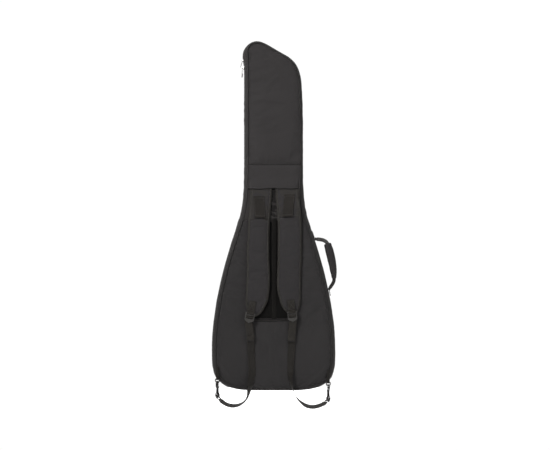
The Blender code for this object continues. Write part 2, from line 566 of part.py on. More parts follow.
def strap_fittings(side):
    info = SIDES[side]
    o, d, w = lean_frame(side)
    sx = info["sign"]
    strap_origin = (0.0, STRAP_AXIS[0], STRAP_AXIS[1])
    n = V_AXIS

    def at(v, out, across=0.0):
        return tuple(o + d * (v / 1000) + n * (out / 1000) + w * (across / 1000))
    # webbing tab stitched near the top of the strap
    c, low, high = (-0.0487, 0.607, 0.677) if sx < 0 else (0.0525, 0.611, 0.684)
    k = -0.06 if sx < 0 else 0.10
    z_mid = (low + high) / 2
    quad = [(c - 0.0190 + k * (high - z_mid) * -1, high), (c + 0.0190 + k * (high - z_mid) * -1, high),
            (c + 0.0190 - k * (low - z_mid), low), (c - 0.0190 - k * (low - z_mid), low)]
    y_face = Y_STRAP - 0.0120 - GAP
    slab(f"strap_tab_{side}", quad, y_face, y_face - 0.0016, WEBBING, origin=strap_origin)
    # webbing tab that is sewn to the pad's end and loops round the buckle's top bar
    path = [(-42, -2.35), (-20, -2.35), (-2, -2.35), (2.9, -2.2), (5.1, -0.3), (5.1, 3.5), (3.7, 5.5),
            (0.2, 5.7), (-2.2, 4.2), (-2.9, 1.6), (-4.9, -0.4), (-20, -0.45), (-40, -0.45)]
    ribbon(f"buckle_tab_{side}", [at(v, out) for v, out in path], [tuple(w)] * len(path),
           WEB_W, WEB_T, WEBBING, origin=strap_origin)
    # ladder-lock buckle
    half = BUCKLE_W * 500
    lip = [(-half, 0.0), (half, 0.0), (half, 25.0), (half - 4.0, 29.0), (0.0, 36.0),
           (4.0 - half, 29.0), (-half, 25.0)]
    rings = [[at(v, 0.0, x) for x, v in lip], [at(v, 3.2, x) for x, v in lip],
             [at(v * 0.96 + 0.7, 4.0, x * 0.95) for x, v in lip]]
    pivot = at(1.35, 2.0)
    buckle = loft(f"ladder_lock_{side}", rings, PLASTIC, origin=pivot)
    m = Matrix((w, n, -d)).transposed()
    slots = [block(at(v, 2.0), (0.0266, 0.010, h / 1000), m)
             for v, h in ((4.75, 4.1), (11.55, 4.5), (19.05, 4.5))]
    carve(buckle, slots, "DIFFERENCE")
    # webbing: the loaded strand stays behind the buckle, the tail comes over the grip bar
    tail_local = [(11.6, 1.8), (11.6, 3.6), (13.2, 5.05), (17.4, 5.05), (19.1, 3.6), (19.1, 1.4),
                  (20.8, -0.7), (25.0, -1.2), (36.0, -1.3)]
    pts = [at(v, out) for v, out in tail_local]
    end = Vector(pts[-1])
    drop = 0.1715 + (0.002 if sx < 0 else 0.0)
    web_x = -0.0805 if sx < 0 else 0.0633
    for t in (0.25, 0.5, 0.75, 1.0):
        z = end.z + (drop - end.z) * t
        pts.append((end.x + (web_x - end.x) * min(1.0, t * 1.3), end.y + 0.0035 * t, z))
    wide = [tuple(w)] * (len(tail_local)) + [(1, 0, 0)] * 4
    ribbon(f"webbing_tail_{side}", pts, wide, WEB_W, WEB_T, WEBBING, origin=pivot)

    # loaded strand from the buckle to the snap hook, hanging in a loop below the base
    local_top = [(11.6, 1.2), (11.6, -0.6), (13.4, -2.9), (20.0, -3.05), (30.0, -3.1)]
    pts = [at(v, out) for v, out in local_top]
    wide = [tuple(w)] * len(local_top)
    bar = Vector((info["ring_x"], Y_RING, info["wire_z"] - 0.0505))
    if sx < 0:
        line = [(-0.0805, -0.0608, 0.2083), (-0.0795, -0.0570, 0.1700), (-0.0790, -0.0545, 0.1435),
                (-0.0765, -0.0530, 0.0890), (-0.0745, -0.0535, 0.0665), (-0.0775, -0.0575, 0.0430),
                (-0.0810, -0.0612, 0.0193), (-0.0850, -0.0625, 0.0000), (-0.0879, -0.0600, -0.0158),
                (-0.0950, -0.0560, -0.0325), (-0.1070, -0.0520, -0.0455), (-0.1229, -0.0520, -0.0540),
                (-0.1421, -0.0520, -0.0568), (-0.1596, -0.0520, -0.0536), (-0.1736, -0.0520, -0.0466),
                (-0.1835, -0.0520, -0.0390)]
        turn = [0, 0, 0, 0.05, 0.15, 0.40, 0.68, 0.90, 1, 1, 1, 1, 1, 1, 1, 1]
        near = 1.0
    else:
        line = [(0.0633, -0.0608, 0.2083), (0.0630, -0.0570, 0.1700), (0.0627, -0.0545, 0.1450),
                (0.0590, -0.0545, 0.0890), (0.0580, -0.0568, 0.0665), (0.0584, -0.0602, 0.0430),
                (0.0627, -0.0622, 0.0193), (0.0679, -0.0626, 0.0000), (0.0725, -0.0600, -0.0135),
                (0.0819, -0.0560, -0.0275), (0.0924, -0.0520, -0.0403), (0.1060, -0.0520, -0.0515),
                (0.1204, -0.0520, -0.0582), (0.1379, -0.0520, -0.0605), (0.1554, -0.0520, -0.0575),
                (0.1700, -0.0520, -0.0520), (0.1790, -0.0520, -0.0475)]
        turn = [0, 0, 0.05, 0.20, 0.35, 0.60, 0.80, 0.95, 1, 1, 1, 1, 1, 1, 1, 1, 1]
        near = -1.0
    for x, y, z, q in spline([(*p, q) for p, q in zip(line, turn)], False, 2):
        pts.append((x, y, z))
        wide.append((math.cos(q * math.pi / 2), math.sin(q * math.pi / 2) * near, 0.0))
    # round the hook's bar and back along itself
    s = -near
    bx, by, bz = bar
    for dx, dz in ((0.0010, -0.0046), (0.0040, -0.0020), (0.0040, 0.0016), (0.0014, 0.0036),
                   (-0.0030, 0.0026)):
        pts.append((bx + s * dx, by, bz + dz))
        wide.append((0.0, near, 0.0))
    back = ((-0.0075, -0.0020), (-0.0125, -0.0072)) if sx < 0 else ((-0.0075, 0.0008), (-0.0125, -0.0022))
    for dx, dz in back:
        pts.append((bx + s * dx, by, bz + dz))
        wide.append((0.0, near, 0.0))
    ribbon(f"strap_webbing_{side}", pts, wide, WEB_W, WEB_T, WEBBING)


strap_pad("strap_pad_left", STRAP_L, (0.0, STRAP_AXIS[0], STRAP_AXIS[1]))
strap_pad("strap_pad_right", STRAP_R, (0.0, STRAP_AXIS[0], STRAP_AXIS[1]))
for side in ("left", "right"):
    strap_fittings(side)


# ---------------------------------------------------------------- corner rings and snap hooks
def corner_fittings(side):
    info = SIDES[side]
    rx, wz = info["ring_x"], info["wire_z"]
    bar_z = wz + RING_DROP
    # sewn tab that holds the ring
    c = Vector((rx, Y_RING, bar_z))
    path = [(0.0022, 0.0440), (0.0012, 0.0300), (-0.0010, 0.0180), (-0.0016, 0.0080)]
    path += [(-0.0024 * math.cos(t), -0.0024 * math.sin(t)) for t in
             [math.radians(k) for k in (0, 35, 75, 110, 150, 185)]]
    path += [(0.0020, 0.0060), (0.0022, 0.0095)]
    pts = [(rx, Y_RING + dy, bar_z + dz) for dy, dz in path]
    ribbon(f"corner_tab_{side}", pts, [(1, 0, 0)] * len(pts), 0.0100, WEB_T, WEBBING)
    # D-ring hanging from the tab
    ring = [(-0.0066, -0.0006), (-0.0058, 0.0), (0.0, 0.0), (0.0058, 0.0), (0.0066, -0.0006)]
    for k in range(0, 9):
        t = math.pi * k / 8
        ring.append((0.0072 * math.cos(t), -0.0043 - 0.0072 * math.sin(t)))
    pts = [(rx + x, Y_RING, bar_z + z) for x, z in ring]
    tube(f"d_ring_{side}", pts, RING_WIRE, NICKEL, n=8, closed=True, origin=(rx, Y_RING, bar_z))
    # snap hook: loop, neck and webbing frame drawn in the y-z plane
    hook_origin = (rx, Y_RING, wz)
    x0, x1 = rx - 0.0025, rx + 0.0025

    def ell(cy, cz, ry, rz, count=16):
        return [(Y_RING + cy + ry * math.cos(2 * math.pi * k / count),
                 wz + cz + rz * math.sin(2 * math.pi * k / count)) for k in range(count)]
    v, f = prism_x(ell(0.0, -0.0078, 0.0085, 0.0130), x0, x1)
    hook = add(f"snap_hook_{side}", v, f, PLASTIC, origin=hook_origin)
    neck = prism_x([(Y_RING - 0.0035, wz - 0.0190), (Y_RING + 0.0035, wz - 0.0190),
                    (Y_RING + 0.0040, wz - 0.0340), (Y_RING + 0.0160, wz - 0.0400),
                    (Y_RING + 0.0160, wz - 0.0520), (Y_RING - 0.0160, wz - 0.0520),
                    (Y_RING - 0.0160, wz - 0.0400), (Y_RING - 0.0040, wz - 0.0340)], x0, x1)
    carve(hook, [neck], "UNION")
    inner = prism_x(ell(0.0, -0.0070, 0.0046, 0.0090), x0 - 0.002, x1 + 0.002)
    gap = block((rx, Y_RING - 0.0080, wz - 0.0075), (0.009, 0.0090, 0.0110))
    slot = block((rx, Y_RING, wz - 0.0457), (0.009, 0.0264, 0.0060))
    carve(hook, [inner, gap, slot], "DIFFERENCE")
    gate = [(Y_RING - 0.0083, wz - 0.0023), (Y_RING - 0.0052, wz - 0.0023),
            (Y_RING - 0.0052, wz - 0.0112), (Y_RING - 0.0060, wz - 0.0122),
            (Y_RING - 0.0076, wz - 0.0122), (Y_RING - 0.0083, wz - 0.0112)]
    v, f = prism_x(gate, rx - 0.0018, rx + 0.0018)
    add(f"hook_gate_{side}", v, f, PLASTIC, origin=(rx, Y_RING - 0.0068, wz - 0.0108))


for side in ("left", "right"):
    corner_fittings(side)

# ---------------------------------------------------------------- carry handle
top = Vector((HANDLE_TOP[0], HANDLE_TOP[1]))
low = Vector((HANDLE_LOW[0], HANDLE_LOW[1]))
h_origin = (HANDLE_LOW[0] + 0.0035, HANDLE_Y, HANDLE_LOW[1] + 0.0015)
curve = [(0.1500, 0.5262), (0.1690, 0.5240), (0.1800, 0.5200)] + HANDLE_ARC + [(0.2100, 0.3720),
                                                                             (0.2010, 0.3590)]
curve = [(HANDLE_TOP[0] + 0.0030, 0.5268)] + curve + [(HANDLE_LOW[0] + 0.0035, 0.3535)]
line = spline(curve, False, 3)
ribbon("handle_webbing", [(x, HANDLE_Y, z) for x, z in line], [(0, 1, 0)] * len(line), WEB_W, 0.0020,
       WEBBING, origin=h_origin)
grip_mid = spline(HANDLE_ARC, False, 3)
thick_at = [0.0125, 0.0145, 0.0140, 0.0120, 0.0070]
rings_o, rings_i = [], []
m = len(grip_mid)
for k, (x, z) in enumerate(grip_mid):
    a, b = grip_mid[max(k - 1, 0)], grip_mid[min(k + 1, m - 1)]
    t = Vector((b[0] - a[0], 0.0, b[1] - a[1])).normalized()
    side_dir = Vector((t.z, 0.0, -t.x))
    pos = k / (m - 1) * (len(thick_at) - 1)
    i = min(int(pos), len(thick_at) - 2)
    th = thick_at[i] + (thick_at[i + 1] - thick_at[i]) * (pos - i)
    c = Vector((x, HANDLE_Y, z))
    outer, inner = [], []
    for j in range(12):
        ang = 2 * math.pi * (j + 0.5) / 12
        ca, sa = math.cos(ang), math.sin(ang)
        outer.append(tuple(c + side_dir * (th * ca) + Vector((0, 1, 0)) * (0.0165 * sa)))
        flat = 1.0 if abs(ca) > 0.5 else 0.4          # corners of the slot for the webbing
        wide = 1.0 if abs(sa) > 0.5 else 0.4
        inner.append(tuple(c + side_dir * math.copysign(0.0017 * flat, ca)
                           + Vector((0, 1, 0)) * math.copysign(0.0132 * wide, sa)))
    rings_o.append(outer)
    rings_i.append(inner)
loft("handle_grip", rings_o + rings_i[::-1], PANEL, closed=True, origin=h_origin)


def anchor(name, start, direction, length):
    """Stitched end of the handle webbing, flat on the gusset."""
    d = Vector((direction[0], 0.0, direction[1])).normalized()
    out = Vector((d.z, 0.0, -d.x)) if d.z > 0 else Vector((-d.z, 0.0, d.x))
    a = Vector((start[0], HANDLE_Y, start[1])) + out * 0.0018
    pts = [tuple(a + d * (length * t)) for t in (0.0, 0.5, 1.0)]
    ribbon(name, pts, [(0, 1, 0)] * 3, WEB_W, WEB_T, WEBBING)


anchor("handle_anchor_upper", HANDLE_TOP, (-0.316, 0.949), 0.028)
anchor("handle_anchor_lower", HANDLE_LOW, (0.200, -0.980), 0.026)
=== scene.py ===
"""Looks of the padded gig bag: fabric panels, piping, zips, straps, webbing and hardware
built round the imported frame.  Units metres; heights above the bag's base less HANG_Z."""
import math

import bmesh
import bpy
import numpy as np
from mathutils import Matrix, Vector
from mathutils import noise as mnoise


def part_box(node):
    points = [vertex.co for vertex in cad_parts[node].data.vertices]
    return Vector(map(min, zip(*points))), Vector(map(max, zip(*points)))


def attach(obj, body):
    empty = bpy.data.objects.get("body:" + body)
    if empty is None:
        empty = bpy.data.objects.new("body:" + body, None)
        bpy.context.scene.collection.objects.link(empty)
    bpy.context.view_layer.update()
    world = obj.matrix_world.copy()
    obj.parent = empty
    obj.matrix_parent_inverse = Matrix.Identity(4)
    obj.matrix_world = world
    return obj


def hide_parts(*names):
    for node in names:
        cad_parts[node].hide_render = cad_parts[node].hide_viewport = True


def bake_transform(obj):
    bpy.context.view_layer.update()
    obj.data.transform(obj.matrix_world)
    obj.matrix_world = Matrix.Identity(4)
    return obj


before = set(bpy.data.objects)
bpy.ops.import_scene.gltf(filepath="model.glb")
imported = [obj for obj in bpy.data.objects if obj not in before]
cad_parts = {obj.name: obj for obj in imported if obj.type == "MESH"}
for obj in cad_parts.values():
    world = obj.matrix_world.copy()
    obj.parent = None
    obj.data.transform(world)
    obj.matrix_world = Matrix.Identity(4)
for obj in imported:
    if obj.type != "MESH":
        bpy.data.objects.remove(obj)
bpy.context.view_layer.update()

# ------------------------------------------------------------------ sizes, as in the model
HANG_Z = 1.1968
Y_BACK, Y_ZIP = -0.045, 0.008
FRONT_BASE, FRONT_HEAD, BAG_H = 0.050, 0.038, 1.221
NECK_HALF, SEAM_INSET = 0.1025, 0.0135
COVER_IN, STITCH_IN = 0.0142, 0.0190             # insets of the covers' border and of its topstitching
COVER_Y = -0.0440                                # depth of the back covers at their border
BACKWARD, FORWARD = (0, -1, 0), (0, 1, 0)        # the way the strap side and the pocket side face
WEB_W, WEB_T = 0.025, 0.0015
HEAD_ARC = (-0.0585, 1.178, 0.043)
BODY_SIDE = [(0.060, 0.000), (0.105, 0.0012), (0.145, 0.0050), (0.172, 0.0130), (0.192, 0.0275),
             (0.2050, 0.0470), (0.2130, 0.0720), (0.2160, 0.1050), (0.2160, 0.1500),
             (0.2135, 0.2050), (0.2075, 0.2550), (0.1995, 0.3080), (0.1890, 0.3600),
             (0.1765, 0.4130), (0.1620, 0.4650), (0.1460, 0.5180), (0.1310, 0.5630),
             (0.1180, 0.6050), (0.1090, 0.6500), (0.1042, 0.7000), (NECK_HALF, 0.7600)]
HEAD_RIGHT = [(NECK_HALF, 0.860), (0.1020, 0.950), (0.1000, 1.030), (0.0960, 1.085),
              (0.0890, 1.117), (0.0784, 1.140), (0.0644, 1.1560), (0.0504, 1.1670),
              (0.0364, 1.1755), (0.0084, 1.1918), (-0.0196, 1.2080), (-0.0350, 1.2160),
              (-0.0480, 1.2200)]
STRAP = {
    "left": [(0.7010, -0.0785, -0.0065, 0.0040), (0.6800, -0.0805, -0.0072, 0.0060),
             (0.6500, -0.0830, -0.0090, 0.0100), (0.5860, -0.0875, -0.0140, 0.0120),
             (0.4810, -0.0927, -0.0161, 0.0120), (0.4220, -0.0925, -0.0140, 0.0120),
             (0.3620, -0.0952, -0.0140, 0.0120), (0.3170, -0.0970, -0.0195, 0.0120),
             (0.2980, -0.0960, -0.0265, 0.0120), (0.2800, -0.0925, -0.0360, 0.0120),
             (0.2680, -0.0860, -0.0440, 0.0105), (0.2590, -0.0760, -0.0540, 0.0070)],
    "right": [(0.7010, 0.0077, 0.0854, 0.0040), (0.6800, 0.0084, 0.0880, 0.0060),
              (0.6500, 0.0105, 0.0915, 0.0100), (0.5860, 0.0154, 0.0973, 0.0120),
              (0.4810, 0.0154, 0.0984, 0.0120), (0.4220, 0.0140, 0.0966, 0.0120),
              (0.3620, 0.0126, 0.0952, 0.0120), (0.3240, 0.0189, 0.0950, 0.0120),
              (0.3000, 0.0255, 0.0930, 0.0120), (0.2840, 0.0340, 0.0890, 0.0120),
              (0.2730, 0.0430, 0.0830, 0.0105), (0.2640, 0.0530, 0.0740, 0.0070)]}
Y_STRAP = -0.0506
FLAP_TOP, FLAP_LOW, YOKE_LOW = 0.786, 0.7030, 0.592
MESH_LOW = 0.2475
MESH_POLY = [(-0.078, MESH_LOW), (0.068, MESH_LOW), (0.084, 0.300), (0.088, 0.330), (0.088, 0.590),
             (-0.088, 0.590), (-0.088, 0.330), (-0.086, 0.290)]
Y_BUCKLE = -0.0660
SIDES = {"left": dict(sign=-1, buckle=(-0.0800, 0.2693), lean=math.radians(-12.0),
                      ring_x=-0.1964, wire_z=0.0250),
         "right": dict(sign=1, buckle=(0.0640, 0.2735), lean=math.radians(6.0),
                       ring_x=0.1915, wire_z=0.0133)}
Y_RING, RING_DROP = -0.0520, 0.0115
HANDLE_Y = -0.018
HANDLE_TOP, HANDLE_LOW = (0.1425, 0.527), (0.1925, 0.352)
HANDLE_ARC = [(0.1887, 0.5120), (0.1960, 0.4880), (0.2060, 0.4460), (0.2114, 0.4110),
              (0.2132, 0.3850)]
POCKET_TOP = 0.500

# ------------------------------------------------------------------ materials


def new_material(name):
    m = bpy.data.materials.new(name)
    m.use_nodes = True
    nt = m.node_tree
    return m, nt, nt.nodes["Principled BSDF"]


def math_node(nt, op, a, b=None):
    n = nt.nodes.new("ShaderNodeMath")
    n.operation = op
    for i, v in enumerate((a, b)):
        if v is None:
            continue
        if isinstance(v, (int, float)):
            n.inputs[i].default_value = v
        else:
            nt.links.new(v, n.inputs[i])
    return n.outputs[0]


def add(nt, a, b):
    return math_node(nt, "ADD", a, b)


def mul(nt, a, b):
    return math_node(nt, "MULTIPLY", a, b)


def noise_node(nt, vec, scale, detail=3.0, rough=0.5, distortion=0.0):
    n = nt.nodes.new("ShaderNodeTexNoise")
    n.inputs["Scale"].default_value = scale
    n.inputs["Detail"].default_value = detail
    n.inputs["Roughness"].default_value = rough
    n.inputs["Distortion"].default_value = distortion
    nt.links.new(vec, n.inputs["Vector"])
    return n.outputs["Fac"]


def ramp(nt, fac, stops):
    n = nt.nodes.new("ShaderNodeValToRGB")
    e = n.color_ramp.elements
    e[0].position, e[0].color = stops[0][0], (*stops[0][1], 1)
    e[1].position, e[1].color = stops[-1][0], (*stops[-1][1], 1)
    for p, c in stops[1:-1]:
        x = e.new(p)
        x.color = (*c, 1)
    nt.links.new(fac, n.inputs["Fac"])
    return n.outputs["Color"]


def bump(nt, bsdf, height, strength, distance):
    n = nt.nodes.new("ShaderNodeBump")
    n.inputs["Strength"].default_value = strength
    n.inputs["Distance"].default_value = distance
    nt.links.new(height, n.inputs["Height"])
    nt.links.new(n.outputs["Normal"], bsdf.inputs["Normal"])


def scaled(c, f):
    return tuple(x * f for x in c)


def fabric(name, colour, pitch=0.0011, rough=0.82, sheen=0.05, depth=0.00022, mottle=0.13,
           dust=0.0, coord="Object", axes=(0, 2), fuzz=0.5):
    """Woven cloth: two sets of threads, fibre fuzz, slow changes of tone, a little dust."""
    m, nt, b = new_material(name)
    tc = nt.nodes.new("ShaderNodeTexCoord")
    vec = tc.outputs[coord]
    sep = nt.nodes.new("ShaderNodeSeparateXYZ")
    nt.links.new(vec, sep.inputs[0])
    k = 2 * math.pi / pitch
    warp = math_node(nt, "SINE", mul(nt, sep.outputs[axes[0]], k))
    third = 3 - axes[0] - axes[1]
    weft_at = add(nt, sep.outputs[axes[1]],
                        mul(nt, sep.outputs[third], 0.62))
    weft = math_node(nt, "SINE", mul(nt, weft_at, k))
    weave = mul(nt, warp, weft)
    fine = noise_node(nt, vec, 900.0, 2.0, 0.6)
    slow = noise_node(nt, vec, 9.0, 4.0, 0.55, 0.4)
    mid = noise_node(nt, vec, 70.0, 3.0, 0.6)
    tone = add(nt, mul(nt, slow, 0.60),
                     mul(nt, mid, 0.25))
    tone = add(nt, tone, mul(nt, fine, 0.15))
    tone = add(nt, tone, mul(nt, weave, 0.035))
    colour_out = ramp(nt, tone, [(0.25, scaled(colour, 1 - mottle)), (0.5, colour),
                                 (0.75, scaled(colour, 1 + mottle))])
    if dust:
        mix = nt.nodes.new("ShaderNodeMix")
        mix.data_type = "RGBA"
        lint = noise_node(nt, vec, 420.0, 3.0, 0.7)
        fac = mul(nt, math_node(nt, "GREATER_THAN", lint, 0.68), dust)
        nt.links.new(fac, mix.inputs[0])
        nt.links.new(colour_out, mix.inputs[6])
        mix.inputs[7].default_value = (*scaled(colour, 2.4), 1)
        colour_out = mix.outputs[2]
    nt.links.new(colour_out, b.inputs["Base Color"])
    r = add(nt, mul(nt, mid, 0.16), rough - 0.08)
    nt.links.new(r, b.inputs["Roughness"])
    b.inputs["Specular IOR Level"].default_value = 0.20
    b.inputs["Sheen Weight"].default_value = sheen
    b.inputs["Sheen Roughness"].default_value = 0.45
    b.inputs["Sheen Tint"].default_value = (0.80, 0.77, 0.76, 1)
    h = add(nt, weave, mul(nt, fine, fuzz))
    bump(nt, b, h, 0.9, depth)
    return m


def webbing_material(name, colour):
    """Flat woven tape: ribs across the length with a fine lengthwise thread, dull edges."""
    m, nt, b = new_material(name)
    tc = nt.nodes.new("ShaderNodeTexCoord")
    sep = nt.nodes.new("ShaderNodeSeparateXYZ")
    nt.links.new(tc.outputs["UV"], sep.inputs[0])
    along = sep.outputs[1]                       # metres along the tape
    across = sep.outputs[0]                      # 0 to 1 across it
    rib = math_node(nt, "SINE", mul(nt, along, 2 * math.pi / 0.0021))
    thread = math_node(nt, "SINE", mul(nt, across, 2 * math.pi * 17))
    weave = add(nt, rib, mul(nt, mul(nt, rib, thread), 0.7))
    fine = noise_node(nt, tc.outputs["Object"], 800.0, 2.0, 0.6)
    slow = noise_node(nt, tc.outputs["Object"], 22.0, 3.0, 0.5)
    edge = math_node(nt, "ABSOLUTE", math_node(nt, "SUBTRACT", across, 0.5))
    edge = math_node(nt, "GREATER_THAN", edge, 0.43)
    tone = add(nt, mul(nt, slow, 0.7), mul(nt, fine, 0.3))
    tone = add(nt, tone, mul(nt, weave, 0.05))
    tone = add(nt, tone, mul(nt, edge, 0.10))
    nt.links.new(ramp(nt, tone, [(0.2, scaled(colour, 0.75)), (0.5, colour), (0.8, scaled(colour, 1.4))]),
                 b.inputs["Base Color"])
    b.inputs["Roughness"].default_value = 0.62
    b.inputs["Specular IOR Level"].default_value = 0.28
    b.inputs["Sheen Weight"].default_value = 0.04
    b.inputs["Sheen Roughness"].default_value = 0.4
    b.inputs["Sheen Tint"].default_value = (0.85, 0.82, 0.76, 1)
    bump(nt, b, add(nt, weave, mul(nt, fine, 0.5)), 1.0, 0.00028)
    return m


def mesh_material(name, colour):
    """Spacer mesh: rows of small open cells over a dark base."""
    m, nt, b = new_material(name)
    tc = nt.nodes.new("ShaderNodeTexCoord")
    vor = nt.nodes.new("ShaderNodeTexVoronoi")
    vor.feature = "F1"
    vor.inputs["Scale"].default_value = 300.0
    vor.inputs["Randomness"].default_value = 0.25
    nt.links.new(tc.outputs["Object"], vor.inputs["Vector"])
    slow = noise_node(nt, tc.outputs["Object"], 14.0, 3.0, 0.5)
    tone = add(nt, mul(nt, vor.outputs["Distance"], 0.8),
                     mul(nt, slow, 0.3))
    nt.links.new(ramp(nt, tone, [(0.12, scaled(colour, 0.25)), (0.45, colour), (0.8, scaled(colour, 1.9))]),
                 b.inputs["Base Color"])
    b.inputs["Roughness"].default_value = 0.9
    b.inputs["Specular IOR Level"].default_value = 0.15
    b.inputs["Sheen Weight"].default_value = 0.02
    bump(nt, b, vor.outputs["Distance"], 1.0, 0.0007)
    return m


def hard(name, colour, rough, metal=0.0, grain=0.08, scale=300.0, depth=0.00004, coat=0.0):
    m, nt, b = new_material(name)
    tc = nt.nodes.new("ShaderNodeTexCoord")
    n = noise_node(nt, tc.outputs["Object"], scale, 4.0, 0.6)
    slow = noise_node(nt, tc.outputs["Object"], 60.0, 2.0, 0.5)
    tone = add(nt, mul(nt, n, 0.5), mul(nt, slow, 0.5))
    nt.links.new(ramp(nt, tone, [(0.3, scaled(colour, 1 - grain)), (0.7, scaled(colour, 1 + grain))]),
                 b.inputs["Base Color"])
    b.inputs["Metallic"].default_value = metal
    r = add(nt, mul(nt, slow, 0.18), rough - 0.09)
    nt.links.new(r, b.inputs["Roughness"])
    b.inputs["Coat Weight"].default_value = coat
    bump(nt, b, n, 0.6, depth)
    return m


SHELL = fabric("shell_polyester", (0.0300, 0.0280, 0.0283), dust=0.10)
PANEL = fabric("panel_polyester", (0.0330, 0.0303, 0.0306), dust=0.10)
STRAPF = fabric("strap_polyester", (0.0300, 0.0276, 0.0284), pitch=0.0012)
YOKE = fabric("yoke_polyester", (0.0350, 0.0325, 0.0310), dust=0.08)
GUSSET = fabric("gusset_polyester", (0.0345, 0.0322, 0.0318), dust=0.12)
BINDING = fabric("binding_tape", (0.0320, 0.0296, 0.0262), pitch=0.0016, rough=0.7, depth=0.0003)
TABF = fabric("reinforcing_cloth", (0.0330, 0.0302, 0.0280), pitch=0.0016, depth=0.0003)
TOPTAB = fabric("strap_top_tab_cloth", (0.0215, 0.0188, 0.0165), pitch=0.0021, depth=0.0004, mottle=0.2)
# piping cloth, also used for the strip across the webbing tails' ends, where it is partly painted shadow
PIPING_AND_SHADOW = fabric("piping_and_shadow_cloth", (0.0260, 0.0242, 0.0240), pitch=0.0010)
# dark cloth: the binding colour of the hem under the mesh, and painted shade in the gap between the straps and
# under the flap's edge
SHADE = fabric("dark_binding_and_painted_shade_cloth", (0.0120, 0.0108, 0.0104), pitch=0.0012)
LINING = fabric("lining_plush", (0.050, 0.050, 0.055), pitch=0.0016, sheen=0.12, depth=0.0004, fuzz=1.6)
WEBBING = webbing_material("woven_webbing", (0.0115, 0.0094, 0.0074))
# a lighter copy of the strap webbing for the outer layers (buckle loop, free tail and its hem): painted light
# where the top layer catches more light
WEB_OUTER_LIT = webbing_material("woven_webbing_outer_lit", (0.0185, 0.0156, 0.0124))
MESHM = mesh_material("air_mesh", (0.0026, 0.0023, 0.0019))
RIB = mesh_material("air_mesh_rib", (0.0055, 0.0050, 0.0043))
PLASTIC = hard("moulded_acetal", (0.0085, 0.0075, 0.0072), 0.24, grain=0.05, scale=500.0, depth=0.00002,
               coat=0.3)
NICKEL = hard("nickel_plate", (0.50, 0.485, 0.46), 0.26, metal=1.0, grain=0.06)
GUNMETAL = hard("black_nickel", (0.085, 0.080, 0.075), 0.34, metal=1.0, grain=0.08)
COIL = hard("zip_coil", (0.028, 0.026, 0.026), 0.38, grain=0.10, scale=900.0, coat=0.15)
LEATHER = hard("leather_tab", (0.060, 0.026, 0.018), 0.5, grain=0.25, scale=900.0, depth=0.00015)
THREAD = hard("sewing_thread", (0.062, 0.058, 0.054), 0.6, grain=0.15, scale=1500.0)
PULL_DARK = hard("dark_pull", (0.115, 0.078, 0.078), 0.38, metal=0.2, grain=0.15, scale=700.0)
# the buckles' base colour is lifted well above the hooks' plastic to stand for the highlights on their glossy
# edges: painted highlight
BUCKLE = hard("moulded_buckle_with_painted_highlight", (0.050, 0.047, 0.044), 0.34, grain=0.05, scale=500.0, depth=0.00002, coat=0.2)
GUARD = hard("guard_vinyl", (0.040, 0.026, 0.019), 0.48, grain=0.25, scale=700.0, depth=0.00025)

# ------------------------------------------------------------------ mesh helpers


def obj_from(name, verts, faces, mat, smooth=True, uv=None):
    me = bpy.data.meshes.new(name)
    v = np.asarray(verts, float).reshape(-1, 3).copy()
    v[:, 2] -= HANG_Z
    me.from_pydata([tuple(p) for p in v], [], faces)
    me.materials.append(mat)
    if smooth:
        me.polygons.foreach_set("use_smooth", [True] * len(me.polygons))
    if uv is not None:
        layer = me.uv_layers.new(name="UVMap")
        idx = np.zeros(len(me.loops), np.int32)
        me.loops.foreach_get("vertex_index", idx)
        layer.data.foreach_set("uv", np.asarray(uv, np.float32)[idx].ravel())
    me.update()
    o = bpy.data.objects.new(name, me)
    bpy.context.scene.collection.objects.link(o)
    return o


def place(o, body, slot=None, stands_for=None):
    """Ride a piece on a body and hide the CAD solid it stands for; slot is not used."""
    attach(o, body)
    if stands_for:
        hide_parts(stands_for)
    return o


def fix_normals(o):
    bm = bmesh.new()
    bm.from_mesh(o.data)
    bmesh.ops.recalc_face_normals(bm, faces=bm.faces)
    bm.to_mesh(o.data)
    bm.free()
    return o


def grid_faces(nu, nv, close_u=False, close_v=False, base=0):
    f = []
    for i in range(nu if close_u else nu - 1):
        a, b = base + i * nv, base + ((i + 1) % nu) * nv
        for j in range(nv if close_v else nv - 1):
            k = (j + 1) % nv
            f.append((a + j, a + k, b + k, b + j))
    return f


def tube_grid(name, P, mat, close_u=False, caps=True, uv=None):
    """Closed tube from rings P[u, v]; ends capped unless closed along u."""
    nu, nv = P.shape[:2]
    f = grid_faces(nu, nv, close_u, True)
    if caps and not close_u:
        f.append(tuple(range(nv)))
        f.append(tuple(range((nu - 1) * nv, nu * nv)))
    return fix_normals(obj_from(name, P, f, mat, uv=uv))


def sheet_grid(name, P, N, thick, mat):
    """Sheet with thickness: P[u, v] is the face, N the direction of its back, one for all or one each."""
    nu, nv = P.shape[:2]
    back = P + np.asarray(N, float) * thick
    verts = np.concatenate([P.reshape(-1, 3), back.reshape(-1, 3)])
    n = nu * nv
    f = grid_faces(nu, nv)
    f += [tuple(reversed([i + n for i in q])) for q in grid_faces(nu, nv)]
    ring = ([(0, j) for j in range(nv)] + [(i, nv - 1) for i in range(1, nu)]
            + [(nu - 1, j) for j in range(nv - 2, -1, -1)] + [(i, 0) for i in range(nu - 2, 0, -1)])
    ids = [i * nv + j for i, j in ring]
    for a, b in zip(ids, ids[1:] + ids[:1]):
        f.append((a, b, b + n, a + n))
    return fix_normals(obj_from(name, verts, f, mat))


def xyz(x, y, z):
    """Points from their coordinates; a single number holds for all of them."""
    return np.stack(np.broadcast_arrays(np.asarray(x, float), y, z), -1)


def arc_length(p):
    """Distance run along the points, from the first."""
    return np.concatenate([[0], np.cumsum(np.linalg.norm(np.diff(p, axis=0), axis=1))])


def tangents(p, closed=False):
    t = np.roll(p, -1, 0) - np.roll(p, 1, 0) if closed else np.gradient(p, axis=0)
    return t / np.maximum(np.linalg.norm(t, axis=1), 1e-9)[:, None]


